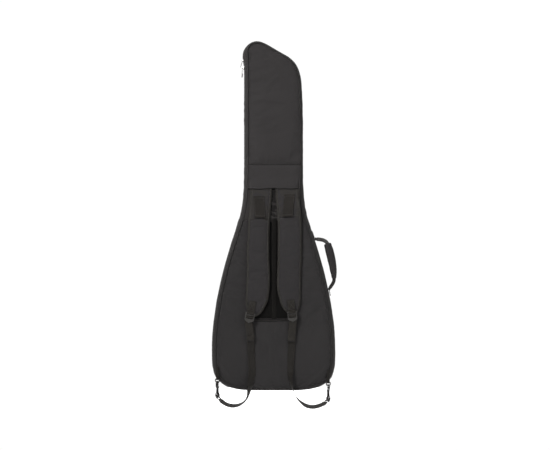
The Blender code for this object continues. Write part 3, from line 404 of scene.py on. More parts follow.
def catmull(points, closed, steps):
    """Smooth curve through the points."""
    p = np.asarray(points, float)
    n = len(p)
    seg = n if closed else n - 1
    out = []
    for i in range(seg):
        def at(k):
            return p[k % n] if closed else p[min(max(k, 0), n - 1)]
        p0, p1, p2, p3 = at(i - 1), at(i), at(i + 1), at(i + 2)
        for s in range(steps):
            t = s / steps
            out.append(0.5 * (2 * p1 + (p2 - p0) * t + (2 * p0 - 5 * p1 + 4 * p2 - p3) * t * t
                              + (3 * p1 - p0 - 3 * p2 + p3) * t ** 3))
    if not closed:
        out.append(p[-1])
    return np.array(out)


def resample(p, step, closed=False):
    q = np.vstack([p, p[:1]]) if closed else p
    s = arc_length(q)
    n = max(2, int(round(s[-1] / step)))
    t = np.linspace(0, s[-1], n + 1)
    out = np.stack([np.interp(t, s, q[:, k]) for k in range(q.shape[1])], 1)
    return out[:-1] if closed else out


def smoothstep(a, b, x):
    t = np.clip((np.asarray(x, float) - a) / (b - a), 0, 1)
    return t * t * (3 - 2 * t)


def wave1(s, wl, seed):
    """Smooth 1-D noise of s with wavelength wl, about -1 to 1."""
    return np.array([mnoise.noise((float(v) / wl, seed * 7.31, seed * 1.7)) for v in np.ravel(s)]
                    ).reshape(np.shape(s)) * 1.9


def field(x, z, wl, seed, stretch=1.0):
    """Smooth 2-D noise over the panel plane."""
    xs, zs = np.ravel(x) / wl, np.ravel(z) / (wl * stretch)
    return np.array([mnoise.noise((float(a), float(b), seed * 3.17)) for a, b in zip(xs, zs)]
                    ).reshape(np.shape(x)) * 1.9


def smooth_ring(values, reach, width):
    """Values round the outline, each blended with its neighbours up to reach points away."""
    kernel = np.exp(-(np.arange(-reach, reach + 1) / width) ** 2)
    round_again = np.concatenate([values[-reach:], values, values[:reach]])
    return np.convolve(round_again, kernel / kernel.sum(), "valid")


# ------------------------------------------------------------------ silhouette
ARC = [(HEAD_ARC[0] + HEAD_ARC[2] * math.cos(math.radians(a)),
        HEAD_ARC[1] + HEAD_ARC[2] * math.sin(math.radians(a))) for a in (95, 115, 135, 155, 178)]
CTRL = (BODY_SIDE[7:] + HEAD_RIGHT + ARC + [(-NECK_HALF, z) for z in (1.130, 1.060, 0.960, 0.860)]
        + [(-x, z) for x, z in reversed(BODY_SIDE)] + BODY_SIDE[:7])
DENSE = catmull(CTRL, True, 12)
OUT = resample(DENSE, 0.0034, closed=True)
# the base sags a little, and the zip side of the head bows out
OUT[:, 1] -= 0.0048 * (1 - smoothstep(0.09, 0.190, np.abs(OUT[:, 0]))) * (OUT[:, 1] < 0.05)
BULGE = np.exp(-((OUT[:, 1] - 1.172) / 0.027) ** 2) * (OUT[:, 0] < -0.03)
OUT[:, 0] -= 0.0058 * BULGE
T = tangents(OUT, closed=True)
NIN = np.stack([-T[:, 1], T[:, 0]], 1)           # inward normal
NO = len(OUT)
SARC = np.arange(NO) * 0.0034
SPINE_TOP = int(np.argmax((OUT[:, 1] > 1.095) & (OUT[:, 0] > 0)))   # last point of the spine
LEFT = OUT[:, 0] < 0


# share of the seam's inset: the seam lies nearer to the edge on the neck's right, the head and the base
KS = 1 - 0.50 * smoothstep(0.66, 0.80, OUT[:, 1]) * ((OUT[:, 0] > -0.085) | (OUT[:, 1] > 1.19))
KS = KS * (1 - 0.55 * (1 - smoothstep(0.10, 0.165, np.abs(OUT[:, 0]))) * (OUT[:, 1] < 0.03))
KS = smooth_ring(KS + 0.42 * BULGE, 9, 4.0)


def inset_poly(u):
    return OUT + NIN * (u * KS)[:, None]


def span(u, z):
    """Left and right x of the outline inset by u at height z."""
    p = inset_poly(u)
    q = np.roll(p, -1, 0)
    hit = (p[:, 1] <= z) != (q[:, 1] <= z)
    a, b = p[hit], q[hit]
    t = (z - a[:, 1]) / (b[:, 1] - a[:, 1])
    x = a[:, 0] + t * (b[:, 0] - a[:, 0])
    return x.min(), x.max()


def front_plane(z):
    return FRONT_BASE + (FRONT_HEAD - FRONT_BASE) * np.asarray(z) / BAG_H


def front_scale(z):
    return (front_plane(z) - Y_ZIP) / (FRONT_BASE - Y_ZIP)


def edge_distance(x, z, poly):
    """Distance to a dense polygon and the arc length of its nearest point."""
    pts = np.stack([np.ravel(x), np.ravel(z)], 1)
    d = np.empty(len(pts))
    k = np.empty(len(pts), int)
    for i in range(0, len(pts), 2000):
        dd = ((pts[i:i + 2000, None, :] - poly[None]) ** 2).sum(2)
        k[i:i + 2000] = dd.argmin(1)
        d[i:i + 2000] = np.sqrt(dd.min(1))
    return d.reshape(np.shape(x)), k.reshape(np.shape(x))


# profile of a shell half from the zip edge round to the flat panel: inset, depth
BACK_PROFILE = [(0.0000, -0.0045), (0.0000, -0.012), (0.0000, -0.020), (0.0008, -0.0285),
                (0.0042, -0.0372), (0.0088, -0.0418), (0.0132, -0.0440)]
FRONT_PROFILE = [(0.0000, 0.0205), (0.0000, 0.026), (0.0002, 0.0310), (0.0016, 0.0380),
                 (0.0052, 0.0440), (0.0096, 0.0475), (0.0132, 0.0490)]


def ring_band(name, side, mat):
    """Gusset of one half with puckers at both seams; waves along the zip side of the neck."""
    prof = catmull(BACK_PROFILE if side == "back" else FRONT_PROFILE, False, 4)
    m = len(prof)
    t = np.linspace(0, 1, m)
    seed = 1.0 if side == "back" else 2.0
    sgn = -1 if side == "back" else 1
    P = np.zeros((NO, m, 3))
    wav_l = smoothstep(0.52, 0.62, OUT[:, 1]) * (1 - smoothstep(1.02, 1.10, OUT[:, 1])) * LEFT
    corner = np.exp(-((np.abs(OUT[:, 0]) - 0.19) / 0.035) ** 2) * (OUT[:, 1] < 0.08)
    shoulder = np.exp(-((OUT[:, 1] - 0.605) / 0.035) ** 2)
    amp = 0.00055 + 0.0011 * wav_l + 0.0010 * corner + 0.0012 * shoulder
    w_long = wave1(SARC, 0.024, seed) + 0.6 * wave1(SARC, 0.011, seed + 5)
    w_seam = wave1(SARC, 0.013, seed + 9)
    for j in range(m):
        u, y = prof[j]
        yy = y if side == "back" else Y_ZIP + (y - Y_ZIP) * front_scale(OUT[:, 1])
        puff = 0.0014 * math.sin(math.pi * t[j])                       # the foam's crown
        edge = max(math.exp(-t[j] * 7), math.exp(-(1 - t[j]) * 6))
        ripple = amp * w_long * (0.55 + 0.45 * edge) + 0.00035 * w_seam * edge
        # the normal of the profile in the section's plane
        a, b = prof[max(j - 1, 0)], prof[min(j + 1, m - 1)]
        du, dy = b[0] - a[0], b[1] - a[1]
        ln = math.hypot(du, dy)
        nu, ny = -abs(dy) / ln, sgn * abs(du) / ln
        off = puff + ripple
        P[:, j, ::2] = OUT + NIN * (u * KS + nu * off)[:, None]
        P[:, j, 1] = yy + ny * off
    inner = P.copy()
    inner[:, :, ::2] += NIN[:, None] * 0.0012
    inner[:, :, 1] -= sgn * 0.0010
    return tube_grid(name, np.concatenate([P, inner[:, ::-1]], 1), mat, close_u=True)


def tube_round(name, centre, radius, mat, n=10, close=True, ripple=None):
    """Round tube along 3-D points."""
    c = np.asarray(centre, float)
    t = tangents(c, close)
    ref = np.where(np.abs(t[:, 1:2]) < 0.9, np.array([[0, 1.0, 0]]), np.array([[1.0, 0, 0]]))
    u = np.cross(t, ref)
    u /= np.linalg.norm(u, axis=1)[:, None]
    v = np.cross(t, u)
    a = np.arange(n) * 2 * math.pi / n
    r = np.full(len(c), radius) if ripple is None else ripple
    P = (c[:, None] + (u[:, None] * np.cos(a)[None, :, None] + v[:, None] * np.sin(a)[None, :, None])
         * r[:, None, None])
    return tube_grid(name, P, mat, close_u=close)


STITCHES = {}


def stitches(key, points, normals, length=0.0030, gap=0.0013, r=0.00032):
    """Thread stitches laid along a line; gathered per key and built at the end."""
    p = np.asarray(points, float)
    s = arc_length(p)
    nrm = np.asarray(normals, float)
    if nrm.ndim == 1:
        nrm = np.repeat(nrm[None], len(p), 0)

    def at(q):
        return (np.array([np.interp(q, s, p[:, k]) for k in range(3)]),
                np.array([np.interp(q, s, nrm[:, k]) for k in range(3)]))
    q = 0.0
    store = STITCHES.setdefault(key, [])
    while q + length < s[-1]:
        a, na = at(q)
        b, _ = at(q + length)
        d = b - a
        d /= max(np.linalg.norm(d), 1e-9)
        side = np.cross(d, na)
        mid = (a + b) / 2 + na * r * 0.9
        store.append((a - na * r * 0.5, b - na * r * 0.5, mid, side * r * 1.5, na * r, d * length * 0.32))
        q += length + gap


def build_stitches(body_of_key):
    for key, items in STITCHES.items():
        verts, faces = [], []
        for a, b, mid, side, up, d in items:
            k = len(verts)
            verts += [a, mid - d + side, mid - d + up, mid - d - side,
                      mid + d + side, mid + d + up, mid + d - side, b]
            faces += [(k, k + 1, k + 2), (k, k + 2, k + 3), (k + 1, k + 4, k + 5, k + 2),
                      (k + 2, k + 5, k + 6, k + 3), (k + 4, k + 7, k + 5), (k + 5, k + 7, k + 6),
                      (k + 1, k + 3, k + 6, k + 4), (k, k + 3, k + 1), (k + 4, k + 6, k + 7)]
        o = fix_normals(obj_from(f"stitching_{key}", verts, faces, THREAD))
        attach(o, body_of_key[key])


def panel(name, seam, z0, z1, surface, mat, cols=110, step=0.0036, thick=0.0015, toward=1.0, side_clip=None):
    """Panel between heights z0 and z1 out to the outline inset by `seam`.

    surface(x, z, d, k): depth at each point, d its distance to the panel's own border and
    k the nearest outline index; toward is the sign of y the back of the sheet lies on."""
    poly = inset_poly(seam)
    lo, hi = poly[:, 1].min() + 0.0004, poly[:, 1].max() - 0.0004
    za, zb = (lo if z0 is None else z0), (hi if z1 is None else z1)
    n = int((zb - za) / step) + 1
    zs = np.linspace(za, zb, n)
    if z0 is None:                                        # closer rows where the outline turns
        extra = za + (0.028 * (np.linspace(0, 1, 14) ** 2))
        zs = np.unique(np.concatenate([extra, zs[zs > za + 0.028]]))
    if z1 is None:
        extra = zb - (0.030 * (np.linspace(0, 1, 14) ** 2))
        zs = np.unique(np.concatenate([zs[zs < zb - 0.030], extra]))
    rows = []
    for z in zs:
        xl, xr = span(seam, float(np.clip(z, lo, hi)))
        if side_clip:
            xl, xr = max(xl, side_clip[0]), min(xr, side_clip[1])
        c = np.linspace(-1, 1, cols)
        c = np.sign(c) * (1 - (1 - np.abs(c)) ** 1.25)     # a little denser at the sides
        rows.append(np.stack([(xl + xr) / 2 + c * (xr - xl) / 2, np.full(cols, z)], 1))
    g = np.array(rows)
    x, z = g[..., 0], g[..., 1]
    d, k = edge_distance(x, z, poly)
    if z0 is not None:
        d = np.minimum(d, z - z0)
    if z1 is not None:
        d = np.minimum(d, z1 - z)
    y = surface(x, z, np.maximum(d, 0), k)
    return sheet_grid(name, xyz(x, y, z), (0, toward, 0), thick, mat), (x, z, y)


def seam_pucker(d, k, seed, amp=0.0007, decay=0.010, wl=0.016):
    return amp * wave1(SARC, wl, seed)[k] * np.exp(-d / decay)


def finish_soft(o, border, frames, shrink, pressure, cap):
    """Cloth simulation of a panel pinned at its border; moves are capped, result applied."""
    me = o.data
    co = np.zeros(len(me.vertices) * 3)
    me.vertices.foreach_get("co", co)
    co = co.reshape(-1, 3)
    g = o.vertex_groups.new(name="pin")
    for i, w in enumerate(border):
        if w > 0:
            g.add([i], float(w), "REPLACE")
    mod = o.modifiers.new("cloth", "CLOTH")
    s = mod.settings
    s.quality, s.mass = 4, 0.25
    s.tension_stiffness = s.compression_stiffness = 12
    s.shear_stiffness, s.bending_stiffness = 6, 1.4
    s.air_damping = 4
    s.use_pressure, s.uniform_pressure_force = True, pressure
    s.shrink_min = shrink
    s.vertex_group_mass = "pin"
    s.pin_stiffness = 2
    s.effector_weights.gravity = 0
    mod.collision_settings.use_collision = False
    mod.collision_settings.use_self_collision = False
    sc = bpy.context.scene
    mod.point_cache.frame_start, mod.point_cache.frame_end = 1, frames
    for f in range(1, frames + 1):
        sc.frame_set(f)
    dg = bpy.context.evaluated_depsgraph_get()
    ev = o.evaluated_get(dg).to_mesh()
    new = np.zeros(len(ev.vertices) * 3)
    ev.vertices.foreach_get("co", new)
    new = new.reshape(-1, 3)
    o.modifiers.clear()
    o.vertex_groups.clear()
    sc.frame_set(1)
    move = np.nan_to_num(new - co)
    ln = np.linalg.norm(move, axis=1)
    f = np.where(ln > cap, cap / np.maximum(ln, 1e-9), 1.0)
    me.vertices.foreach_set("co", (co + move * f[:, None]).ravel())
    me.update()
    return o


def open_panel(name, seam, z0, z1, surface, mat, cols, step, body, thick=0.0015, toward=1.0,
               sim=None, side_clip=None):
    """panel() as an open sheet that is simulated and then thickened."""
    o, (x, z, y) = panel(name, seam, z0, z1, surface, mat, cols, step, thick, toward, side_clip)
    if sim:
        nu, nv = x.shape
        bpy.data.objects.remove(o)
        P = xyz(x, y, z)
        face = grid_faces(nu, nv)
        o = fix_normals(obj_from(name, P, face, mat))
        pointing = np.mean([p.normal.y for p in o.data.polygons])
        if pointing * toward > 0:                         # pressure pushes along the normals
            o.data.flip_normals()
        rim = np.zeros((nu, nv))
        rim[:2] = rim[-2:] = 1
        rim[:, :2] = rim[:, -2:] = 1
        hold = sim.get("hold")
        if hold is not None:
            rim = np.maximum(rim, hold(x, z))
        finish_soft(o, rim.ravel(), **{k: v for k, v in sim.items() if k != "hold"})
        co = np.zeros(nu * nv * 3)
        o.data.vertices.foreach_get("co", co)
        P = co.reshape(nu, nv, 3)
        P[..., 2] += HANG_Z
        bpy.data.objects.remove(o)
        o = sheet_grid(name, P, (0, toward, 0), thick, mat)
    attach(o, body)
    return o


# ------------------------------------------------------------------ back half
o = ring_band("back_gusset", "back", GUSSET)
place(o, "back_shell", "shell_nylon", "back_shell_skin")


def pip_line(y_of, u=SEAM_INSET, wob=0.0004, seed=3.0):
    w = wave1(SARC, 0.03, seed) * wob
    p = inset_poly(u)
    return xyz(p[:, 0] + NIN[:, 0] * w, y_of(p[:, 1]), p[:, 1] + NIN[:, 1] * w)


line = pip_line(lambda z: np.full(len(z), Y_BACK - 0.0008))
o = tube_round("back_piping_cord", line, 0.0019, PIPING_AND_SHADOW)
place(o, "back_shell", "piping", "back_piping")


def neck_surface(x, z, d, k):
    lift = 0.0052 * (1 - np.exp(-d / 0.018))
    y = COVER_Y - lift - seam_pucker(d, k, 11) - 0.0005 * field(x, z, 0.09, 4, 1.6)
    return y - 0.0008 * np.exp(-((z - 0.84) / 0.05) ** 2) * (1 - np.exp(-d / 0.02))


o = open_panel("neck_back_cover", COVER_IN, FLAP_TOP - 0.0015, None, neck_surface, PANEL, 90, 0.0045,
               "back_shell", sim=dict(frames=12, shrink=-0.006, pressure=1.2, cap=0.0022))
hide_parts("neck_back_panel")


def dist_poly(x, z, poly):
    """Signed distance to a small polygon, positive inside."""
    p = np.asarray(poly, float)
    q = np.roll(p, -1, 0)
    pts = np.stack([x, z], -1)[..., None, :]
    e = q - p
    w = pts - p
    t = np.clip((w * e).sum(-1) / (e * e).sum(-1), 0, 1)
    dd = np.linalg.norm(w - e * t[..., None], axis=-1).min(-1)
    inside = np.zeros(np.shape(x), bool)
    for a, b in zip(p, q):
        c = ((a[1] > z) != (b[1] > z))
        with np.errstate(divide="ignore", invalid="ignore"):
            xx = (b[0] - a[0]) * (z - a[1]) / (b[1] - a[1] + 1e-12) + a[0]
        inside ^= c & (x < xx)
    return np.where(inside, dd, -dd)


def folds(x, z, creases):
    """Soft folds, each given as centre x and z, angle in degrees, half length, half width and height."""
    y = 0 * x
    for cx, cz, angle, length, width, height in creases:
        ca, sa = math.cos(math.radians(angle)), math.sin(math.radians(angle))
        s, t = (x - cx) * ca + (z - cz) * sa, -(x - cx) * sa + (z - cz) * ca
        y = y + height * np.exp(-(s / length) ** 2 - (t / width) ** 2)
    return y


# drawn from the strap ends, the shoulders and the base into the wings
BACK_FOLDS = [(0.108, 0.250, 48, 0.055, 0.010, 0.0016), (0.130, 0.262, 30, 0.050, 0.012, -0.0008),
              (-0.112, 0.252, 128, 0.050, 0.011, 0.0008), (-0.118, 0.555, 62, 0.045, 0.007, 0.0009),
              (0.120, 0.552, 118, 0.045, 0.007, 0.0010), (0.060, 0.020, 60, 0.045, 0.010, 0.0010),
              (-0.050, 0.022, 115, 0.045, 0.012, 0.0009), (0.170, 0.060, 40, 0.050, 0.010, 0.0013),
              (-0.172, 0.070, 140, 0.050, 0.010, 0.0012)]
# drawn from the zip's ends and the corners into the pocket
POCKET_FOLDS = [(0.05, 0.455, 75, 0.05, 0.012, 0.0012), (-0.07, 0.445, 105, 0.05, 0.012, 0.0011),
                (0.14, 0.10, 45, 0.05, 0.010, 0.0014), (-0.14, 0.10, 135, 0.05, 0.010, 0.0014),
                (0.0, 0.05, 90, 0.03, 0.02, 0.0010)]


def body_surface(x, z, d, k):
    """Wings and lower back: one padded cover round the sunken mesh."""
    low = 1 - smoothstep(0.17, 0.27, z)
    lift = (0.0040 + 0.0016 * low) * (1 - np.exp(-d / 0.020))
    inside = dist_poly(x, z, MESH_POLY)
    sink = smoothstep(-0.0035, 0.0015, inside)
    y = COVER_Y - lift * (1 - sink) - 0.0012 * sink
    y -= seam_pucker(d, k, 13, 0.0009, 0.012, 0.018)
    # roll of the padding just under the hem
    y -= 0.0016 * np.exp(-((z - 0.222) / 0.012) ** 2) * np.exp(-(x / 0.055) ** 2)
    y -= folds(x, z, BACK_FOLDS) * (1 - sink)
    y -= 0.0007 * field(x, z, 0.11, 6, 1.3) * (1 - np.exp(-d / 0.02)) * (1 - sink)
    y -= 0.0009 * wave1(x, 0.017, 21) * np.exp(-np.maximum(YOKE_LOW - z, 0) / 0.012)
    return y


def mesh_hold(x, z):
    return (dist_poly(x, z, MESH_POLY) > -0.006).astype(float)


o = open_panel("back_body_cover", COVER_IN, None, YOKE_LOW, body_surface, SHELL, 150, 0.0042, "back_shell",
               sim=dict(frames=12, shrink=-0.006, pressure=1.0, cap=0.0018, hold=mesh_hold))


def yoke_surface(x, z, d, k):
    y = -0.0452 - 0.0022 * (1 - np.exp(-d / 0.012)) - seam_pucker(d, k, 15, 0.0011, 0.012, 0.014)
    y -= 0.0012 * wave1(x, 0.015, 23) * np.exp(-np.maximum(z - YOKE_LOW, 0) / 0.014)
    gap = np.exp(-(x / 0.018) ** 2)
    y -= 0.0016 * wave1(z, 0.012, 25) * gap                     # crumpled between the straps
    return np.maximum(y, -0.0498)


o = open_panel("yoke_cover", COVER_IN, YOKE_LOW - 0.001, FLAP_LOW + 0.02, yoke_surface, YOKE, 110, 0.0032,
               "back_shell")
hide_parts("yoke_panel")


# dark crumpled strip in the gap between the straps: painted shade where the pads' edges shadow the yoke
zs, cs = np.linspace(YOKE_LOW + 0.002, FLAP_LOW + 0.008, 70), np.linspace(-1, 1, 16)
X, Z = np.meshgrid(cs, zs)
mid = 0.0008 - 0.0012 * (Z - 0.65) / 0.05
Y = -0.0482 - 0.0016 * wave1(Z + 0.003 * X, 0.0085, 26)
Y = Y - 0.0010 * field(X * 0.01, Z, 0.007, 29) + 0.0022 * X ** 2
o = sheet_grid("yoke_centre_shade_folds", xyz(mid + X * 0.0105, Y, Z), FORWARD, 0.0010, SHADE)
place(o, "back_shell", "panel_nylon")


def flap_surface(x, z, d, k):
    free = 1 - smoothstep(0, 0.030, z - FLAP_LOW)                # the free lower edge
    y = -0.0455 - 0.0058 * (1 - np.exp(-d / 0.010))
    over = smoothstep(-0.0855, -0.0760, x) * (1 - smoothstep(0.0830, 0.0890, x))
    over = over - 0.25 * np.exp(-((x - 0.0007) / 0.008) ** 2) * (1 - smoothstep(0.703, 0.722, z))
    y -= (0.0010 + 0.0052 * over) * (1 - smoothstep(0.708, 0.752, z))
    y -= seam_pucker(d, k, 17, 0.0006)
    y -= free * (0.0009 * wave1(x, 0.030, 27) + 0.0005 * wave1(x, 0.012, 28))
    return y


def flap_piece():
    xs = np.linspace(-1, 1, 120)
    zs = np.concatenate([np.linspace(FLAP_LOW, FLAP_LOW + 0.012, 9),
                         np.linspace(FLAP_LOW + 0.015, FLAP_TOP, 22)])
    wavy = 0.0012 * wave1(xs, 0.35, 31) + 0.0022 * np.exp(-((xs - 0.02) / 0.10) ** 2)
    rows = []
    for z in zs:
        xl, xr = span(COVER_IN, float(z))
        fade = 1 - smoothstep(0, 0.02, z - FLAP_LOW)
        rows.append(np.stack([(xl + xr) / 2 + xs * (xr - xl) / 2, z + wavy * fade], 1))
    g = np.array(rows)
    x, z = g[..., 0], g[..., 1]
    d, k = edge_distance(x, z, inset_poly(COVER_IN))
    d = np.minimum(d, FLAP_TOP - z)
    y = flap_surface(x, z, np.maximum(d, 0), k)
    return sheet_grid("strap_end_flap", xyz(x, y, z), FORWARD, 0.0014, PANEL), wavy, xs


o, wavy, xs = flap_piece()
place(o, "back_shell", "panel_nylon", "strap_cover_flap")
# dark roll along the flap's lower edge: painted shadow that the flap casts on the straps
xl, xr = span(COVER_IN, FLAP_LOW)
p = xyz((xl + xr) / 2 + xs * (xr - xl) / 2 * 0.995, 0, FLAP_LOW + wavy - 0.0003)
p[:, 1] = flap_surface(p[:, 0], p[:, 2] + 0.001, np.full(len(xs), 0.02), np.zeros(len(xs), int)) + 0.0006
o = tube_round("flap_edge_shadow_roll", p, 0.0019, SHADE, n=8, close=False)
place(o, "back_shell", "piping")
xl, xr = span(COVER_IN, FLAP_LOW)
p = xyz((xl + xr) / 2 + xs * (xr - xl) / 2 * 0.985, -0.0530, FLAP_LOW + 0.004 + wavy)
p[:, 1] = flap_surface(p[:, 0], p[:, 2], np.full(len(xs), 0.02), np.zeros(len(xs), int)) - 0.0001
stitches("back", p, BACKWARD)
xl, xr = span(COVER_IN, FLAP_TOP)
over = 0.0030                                        # the stitched line lies this far above the flap
q = np.zeros((80, 3))
q[:, 0] = np.linspace(xl + 0.004, xr - 0.004, 80)
q[:, 1] = COVER_Y - 0.0002 - 0.0052 * (1 - math.exp(-(over + 0.0015) / 0.018))
q[:, 2] = FLAP_TOP + over
stitches("back", q, BACKWARD)

# sunken mesh with its middle rib
poly = np.asarray(MESH_POLY)


def mesh_piece():
    zs = np.linspace(0.2465, 0.600, 90)
    rows = []
    for z in zs:
        hits = []
        for a, b in zip(poly, np.roll(poly, -1, 0)):
            if (a[1] <= z) != (b[1] <= z):
                hits.append(a[0] + (b[0] - a[0]) * (z - a[1]) / (b[1] - a[1]))
        if len(hits) < 2:
            hits = [-0.078, 0.068] if z < 0.3 else [-0.088, 0.088]
        lo, hi = min(hits) - 0.001, max(hits) + 0.001
        rows.append(np.stack([np.linspace(lo, hi, 64), np.full(64, z)], 1))
    g = np.array(rows)
    x, z = g[..., 0], g[..., 1]
    e = np.minimum(np.maximum(dist_poly(x, z, MESH_POLY), 0), 0.02)
    y = -0.0454 - 0.0016 * (1 - np.exp(-e / 0.006)) - 0.0003 * field(x, z, 0.03, 8)
    y -= 0.0002 * wave1(z, 0.009, 33)
    return sheet_grid("mesh_panel", xyz(x, y, z), FORWARD, 0.0010, MESHM)


o = mesh_piece()
place(o, "back_shell", "air_mesh", "mesh_back_pad")
zs = np.linspace(0.246, 0.598, 120)
cx = 0.0018 + 0.0022 * np.sin((zs - 0.25) * 6) * 0.6
sec = [(-0.0085, 0.0006), (-0.0078, -0.0012), (-0.0050, -0.0026), (0.0, -0.0031), (0.0050, -0.0026),
       (0.0078, -0.0012), (0.0085, 0.0006)]
P = np.array([[(c + a, -0.0466 + b + 0.0002 * math.sin(z * 400), z) for a, b in sec]
              for c, z in zip(cx, zs)])
o = tube_grid("mesh_middle_rib", P, RIB)
place(o, "back_shell", "air_mesh")

# rolled binding under the mesh
xs = np.linspace(-0.080, 0.070, 110)
sag = 0.0007 * wave1(xs, 0.05, 35) - 0.0008 * np.exp(-((xs + 0.006) / 0.012) ** 2)
sec = [(0.0010, -0.0450), (0.0012, -0.0476), (0.0, -0.0494), (-0.0030, -0.0504), (-0.0070, -0.0506),
       (-0.0098, -0.0498), (-0.0108, -0.0482), (-0.0108, -0.0450)]
P = np.array([[(x, y - 0.0003 * math.sin(x * 260), 0.2478 + s + dz) for dz, y in sec]
              for x, s in zip(xs, sag)])
o = tube_grid("mesh_hem_roll", P, SHADE)
place(o, "back_shell", "panel_nylon", "mesh_hem_binding")
stitches("back", xyz(xs, -0.0508, 0.2478 + sag - 0.0052), BACKWARD)


def top_stitch(key, u, z0, z1, surf, off=0.0002, nrm=BACKWARD):
    """Topstitching that follows the silhouette at inset u between two heights."""
    p = inset_poly(u)
    y = surf(p[:, 0], p[:, 1], np.full(NO, u - COVER_IN), np.arange(NO)) + off * nrm[1]
    q = xyz(p[:, 0], y, p[:, 1])
    ok = (p[:, 1] > z0) & (p[:, 1] < z1)
    start = int(np.argmin(ok)) if not ok.all() else 0
    idx = [(start + i) % NO for i in range(NO)]
    run = []
    for i in idx + [idx[0]]:
        if ok[i]:
            run.append(i)
        elif run:
            if len(run) > 4:
                stitches(key, q[run], nrm)
            run = []
    if len(run) > 4:
        stitches(key, q[run], nrm)


top_stitch("back", STITCH_IN, FLAP_TOP + 0.006, 2.0, neck_surface)
top_stitch("back", STITCH_IN, -1.0, YOKE_LOW - 0.006, body_surface)

# dark folded webbing roots at the two bottom corners
for side, (ax, az, bx, bz) in (("left", (-0.1985, 0.0500, -0.1700, 0.0270)),
                               ("right", (0.1930, 0.0400, 0.1650, 0.0235))):
    a, b = np.array([ax, az]), np.array([bx, bz])
    dirn = (b - a) / np.linalg.norm(b - a)
    nrm = np.array([-dirn[1], dirn[0]])
    rows = []
    for s in np.linspace(0, 1, 12):
        c = a + (b - a) * s
        wdt = 0.0055 * (1 - 0.35 * s)
        lift = 0.0016 * math.sin(math.pi * (0.12 + 0.86 * s)) + 0.0003
        d0, k0 = edge_distance(np.array([c[0]]), np.array([c[1]]), inset_poly(COVER_IN))
        yb = float(body_surface(np.array([c[0]]), np.array([c[1]]), d0, k0)[0])
        ring = []
        for q in np.linspace(-1, 1, 7):
            e = c + nrm * wdt * q
            ring.append((e[0], yb - lift * (1 - q * q * 0.5), e[1]))
        for q in (1, -1):
            e = c + nrm * wdt * q
            ring.append((e[0], yb + 0.0015, e[1]))
        rows.append(ring)
    o = tube_grid(f"corner_dart_{side}", np.array(rows), PIPING_AND_SHADOW)
    place(o, "back_shell", "webbing")

# ------------------------------------------------------------------ front half
o = ring_band("front_gusset", "front", GUSSET)
place(o, "front_shell", "shell_nylon", "front_shell_skin")
line = pip_line(lambda z: front_plane(z) + 0.0008, seed=4.0)
o = tube_round("front_piping_cord", line, 0.0019, PIPING_AND_SHADOW)
place(o, "front_shell", "piping", "front_piping")
ZIP_Z = POCKET_TOP + 0.014


def front_surface(x, z, d, k):
    base = front_plane(z) - 0.0012
    near = np.exp(-((z - ZIP_Z) / 0.020) ** 2)
    y = base + 0.0050 * (1 - np.exp(-d / 0.020)) * (1 - 0.75 * near)
    y += seam_pucker(d, k, 41) + 0.0007 * field(x, z, 0.10, 12, 1.5) * (1 - np.exp(-d / 0.02)) * (1 - near)
    under = 1 - smoothstep(ZIP_Z - 0.02, ZIP_Z, z)
    return np.where(under > 0, np.minimum(y, base + 0.0030), y)


o = open_panel("front_cover", COVER_IN, None, None, front_surface, SHELL, 120, 0.0048, "front_shell",
               toward=-1.0, sim=dict(frames=12, shrink=-0.005, pressure=1.0, cap=0.0020,
                                     hold=lambda x, z: (np.abs(z - ZIP_Z) < 0.02).astype(float)))
top_stitch("front", STITCH_IN, ZIP_Z + 0.03, 2.0, front_surface, nrm=FORWARD)


def pocket_surface(x, z, d, k):
    base = front_plane(z)
    y = base + 0.0022 + 0.0075 * (1 - np.exp(-d / 0.012)) - 0.0010 * np.exp(-d / 0.003)
    belly = np.exp(-((z - 0.20) / 0.16) ** 2 - (x / 0.14) ** 2)
    y += 0.0030 * belly + seam_pucker(d, k, 43, 0.0009, 0.012, 0.018)
    y += folds(x, z, POCKET_FOLDS)
    return y + 0.0008 * field(x, z, 0.09, 14, 1.2) * (1 - np.exp(-d / 0.02))


o = open_panel("front_pocket_cover", 0.0270, None, POCKET_TOP + 0.001, pocket_surface, SHELL, 120, 0.0042,
               "front_shell", toward=-1.0, sim=dict(frames=12, shrink=-0.008, pressure=1.2, cap=0.0025))
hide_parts("front_pocket_panel")


def pocket_trim(u, r, name, mat):
    p = inset_poly(u)
    ok = p[:, 1] < POCKET_TOP
    i0 = int(np.argmax(ok & ~np.roll(ok, 1)))
    run = []
    i = i0
    while ok[i % NO] and len(run) < NO:
        run.append(i % NO)
        i += 1
    q = p[run]
    pts = xyz(q[:, 0], front_plane(q[:, 1]) + 0.0030, q[:, 1])
    return tube_round(name, pts, r, mat, n=8, close=False), pts


o, _ = pocket_trim(0.0262, 0.0016, "front_pocket_piping", PIPING_AND_SHADOW)
place(o, "front_shell", "piping")
o, pts = pocket_trim(0.0325, 0.0002, "tmp_line", PIPING_AND_SHADOW)
bpy.data.objects.remove(o)
dd = np.full(len(pts), 0.0325 - 0.027)
pts[:, 1] = pocket_surface(pts[:, 0], pts[:, 2], dd, np.zeros(len(pts), int)) + 0.0002
stitches("front", pts, FORWARD)


def coil_tube(name, pts, radius, mat, pitch=0.0026):
    """Zip coil: a tube whose turns show as ribs."""
    p = resample(np.asarray(pts, float), pitch / 4)
    ph = np.arange(len(p)) % 4
    r = radius * np.where(ph == 0, 1.0, np.where(ph == 2, 0.72, 0.9))
    return tube_round(name, p, radius, mat, n=8, close=False, ripple=r)


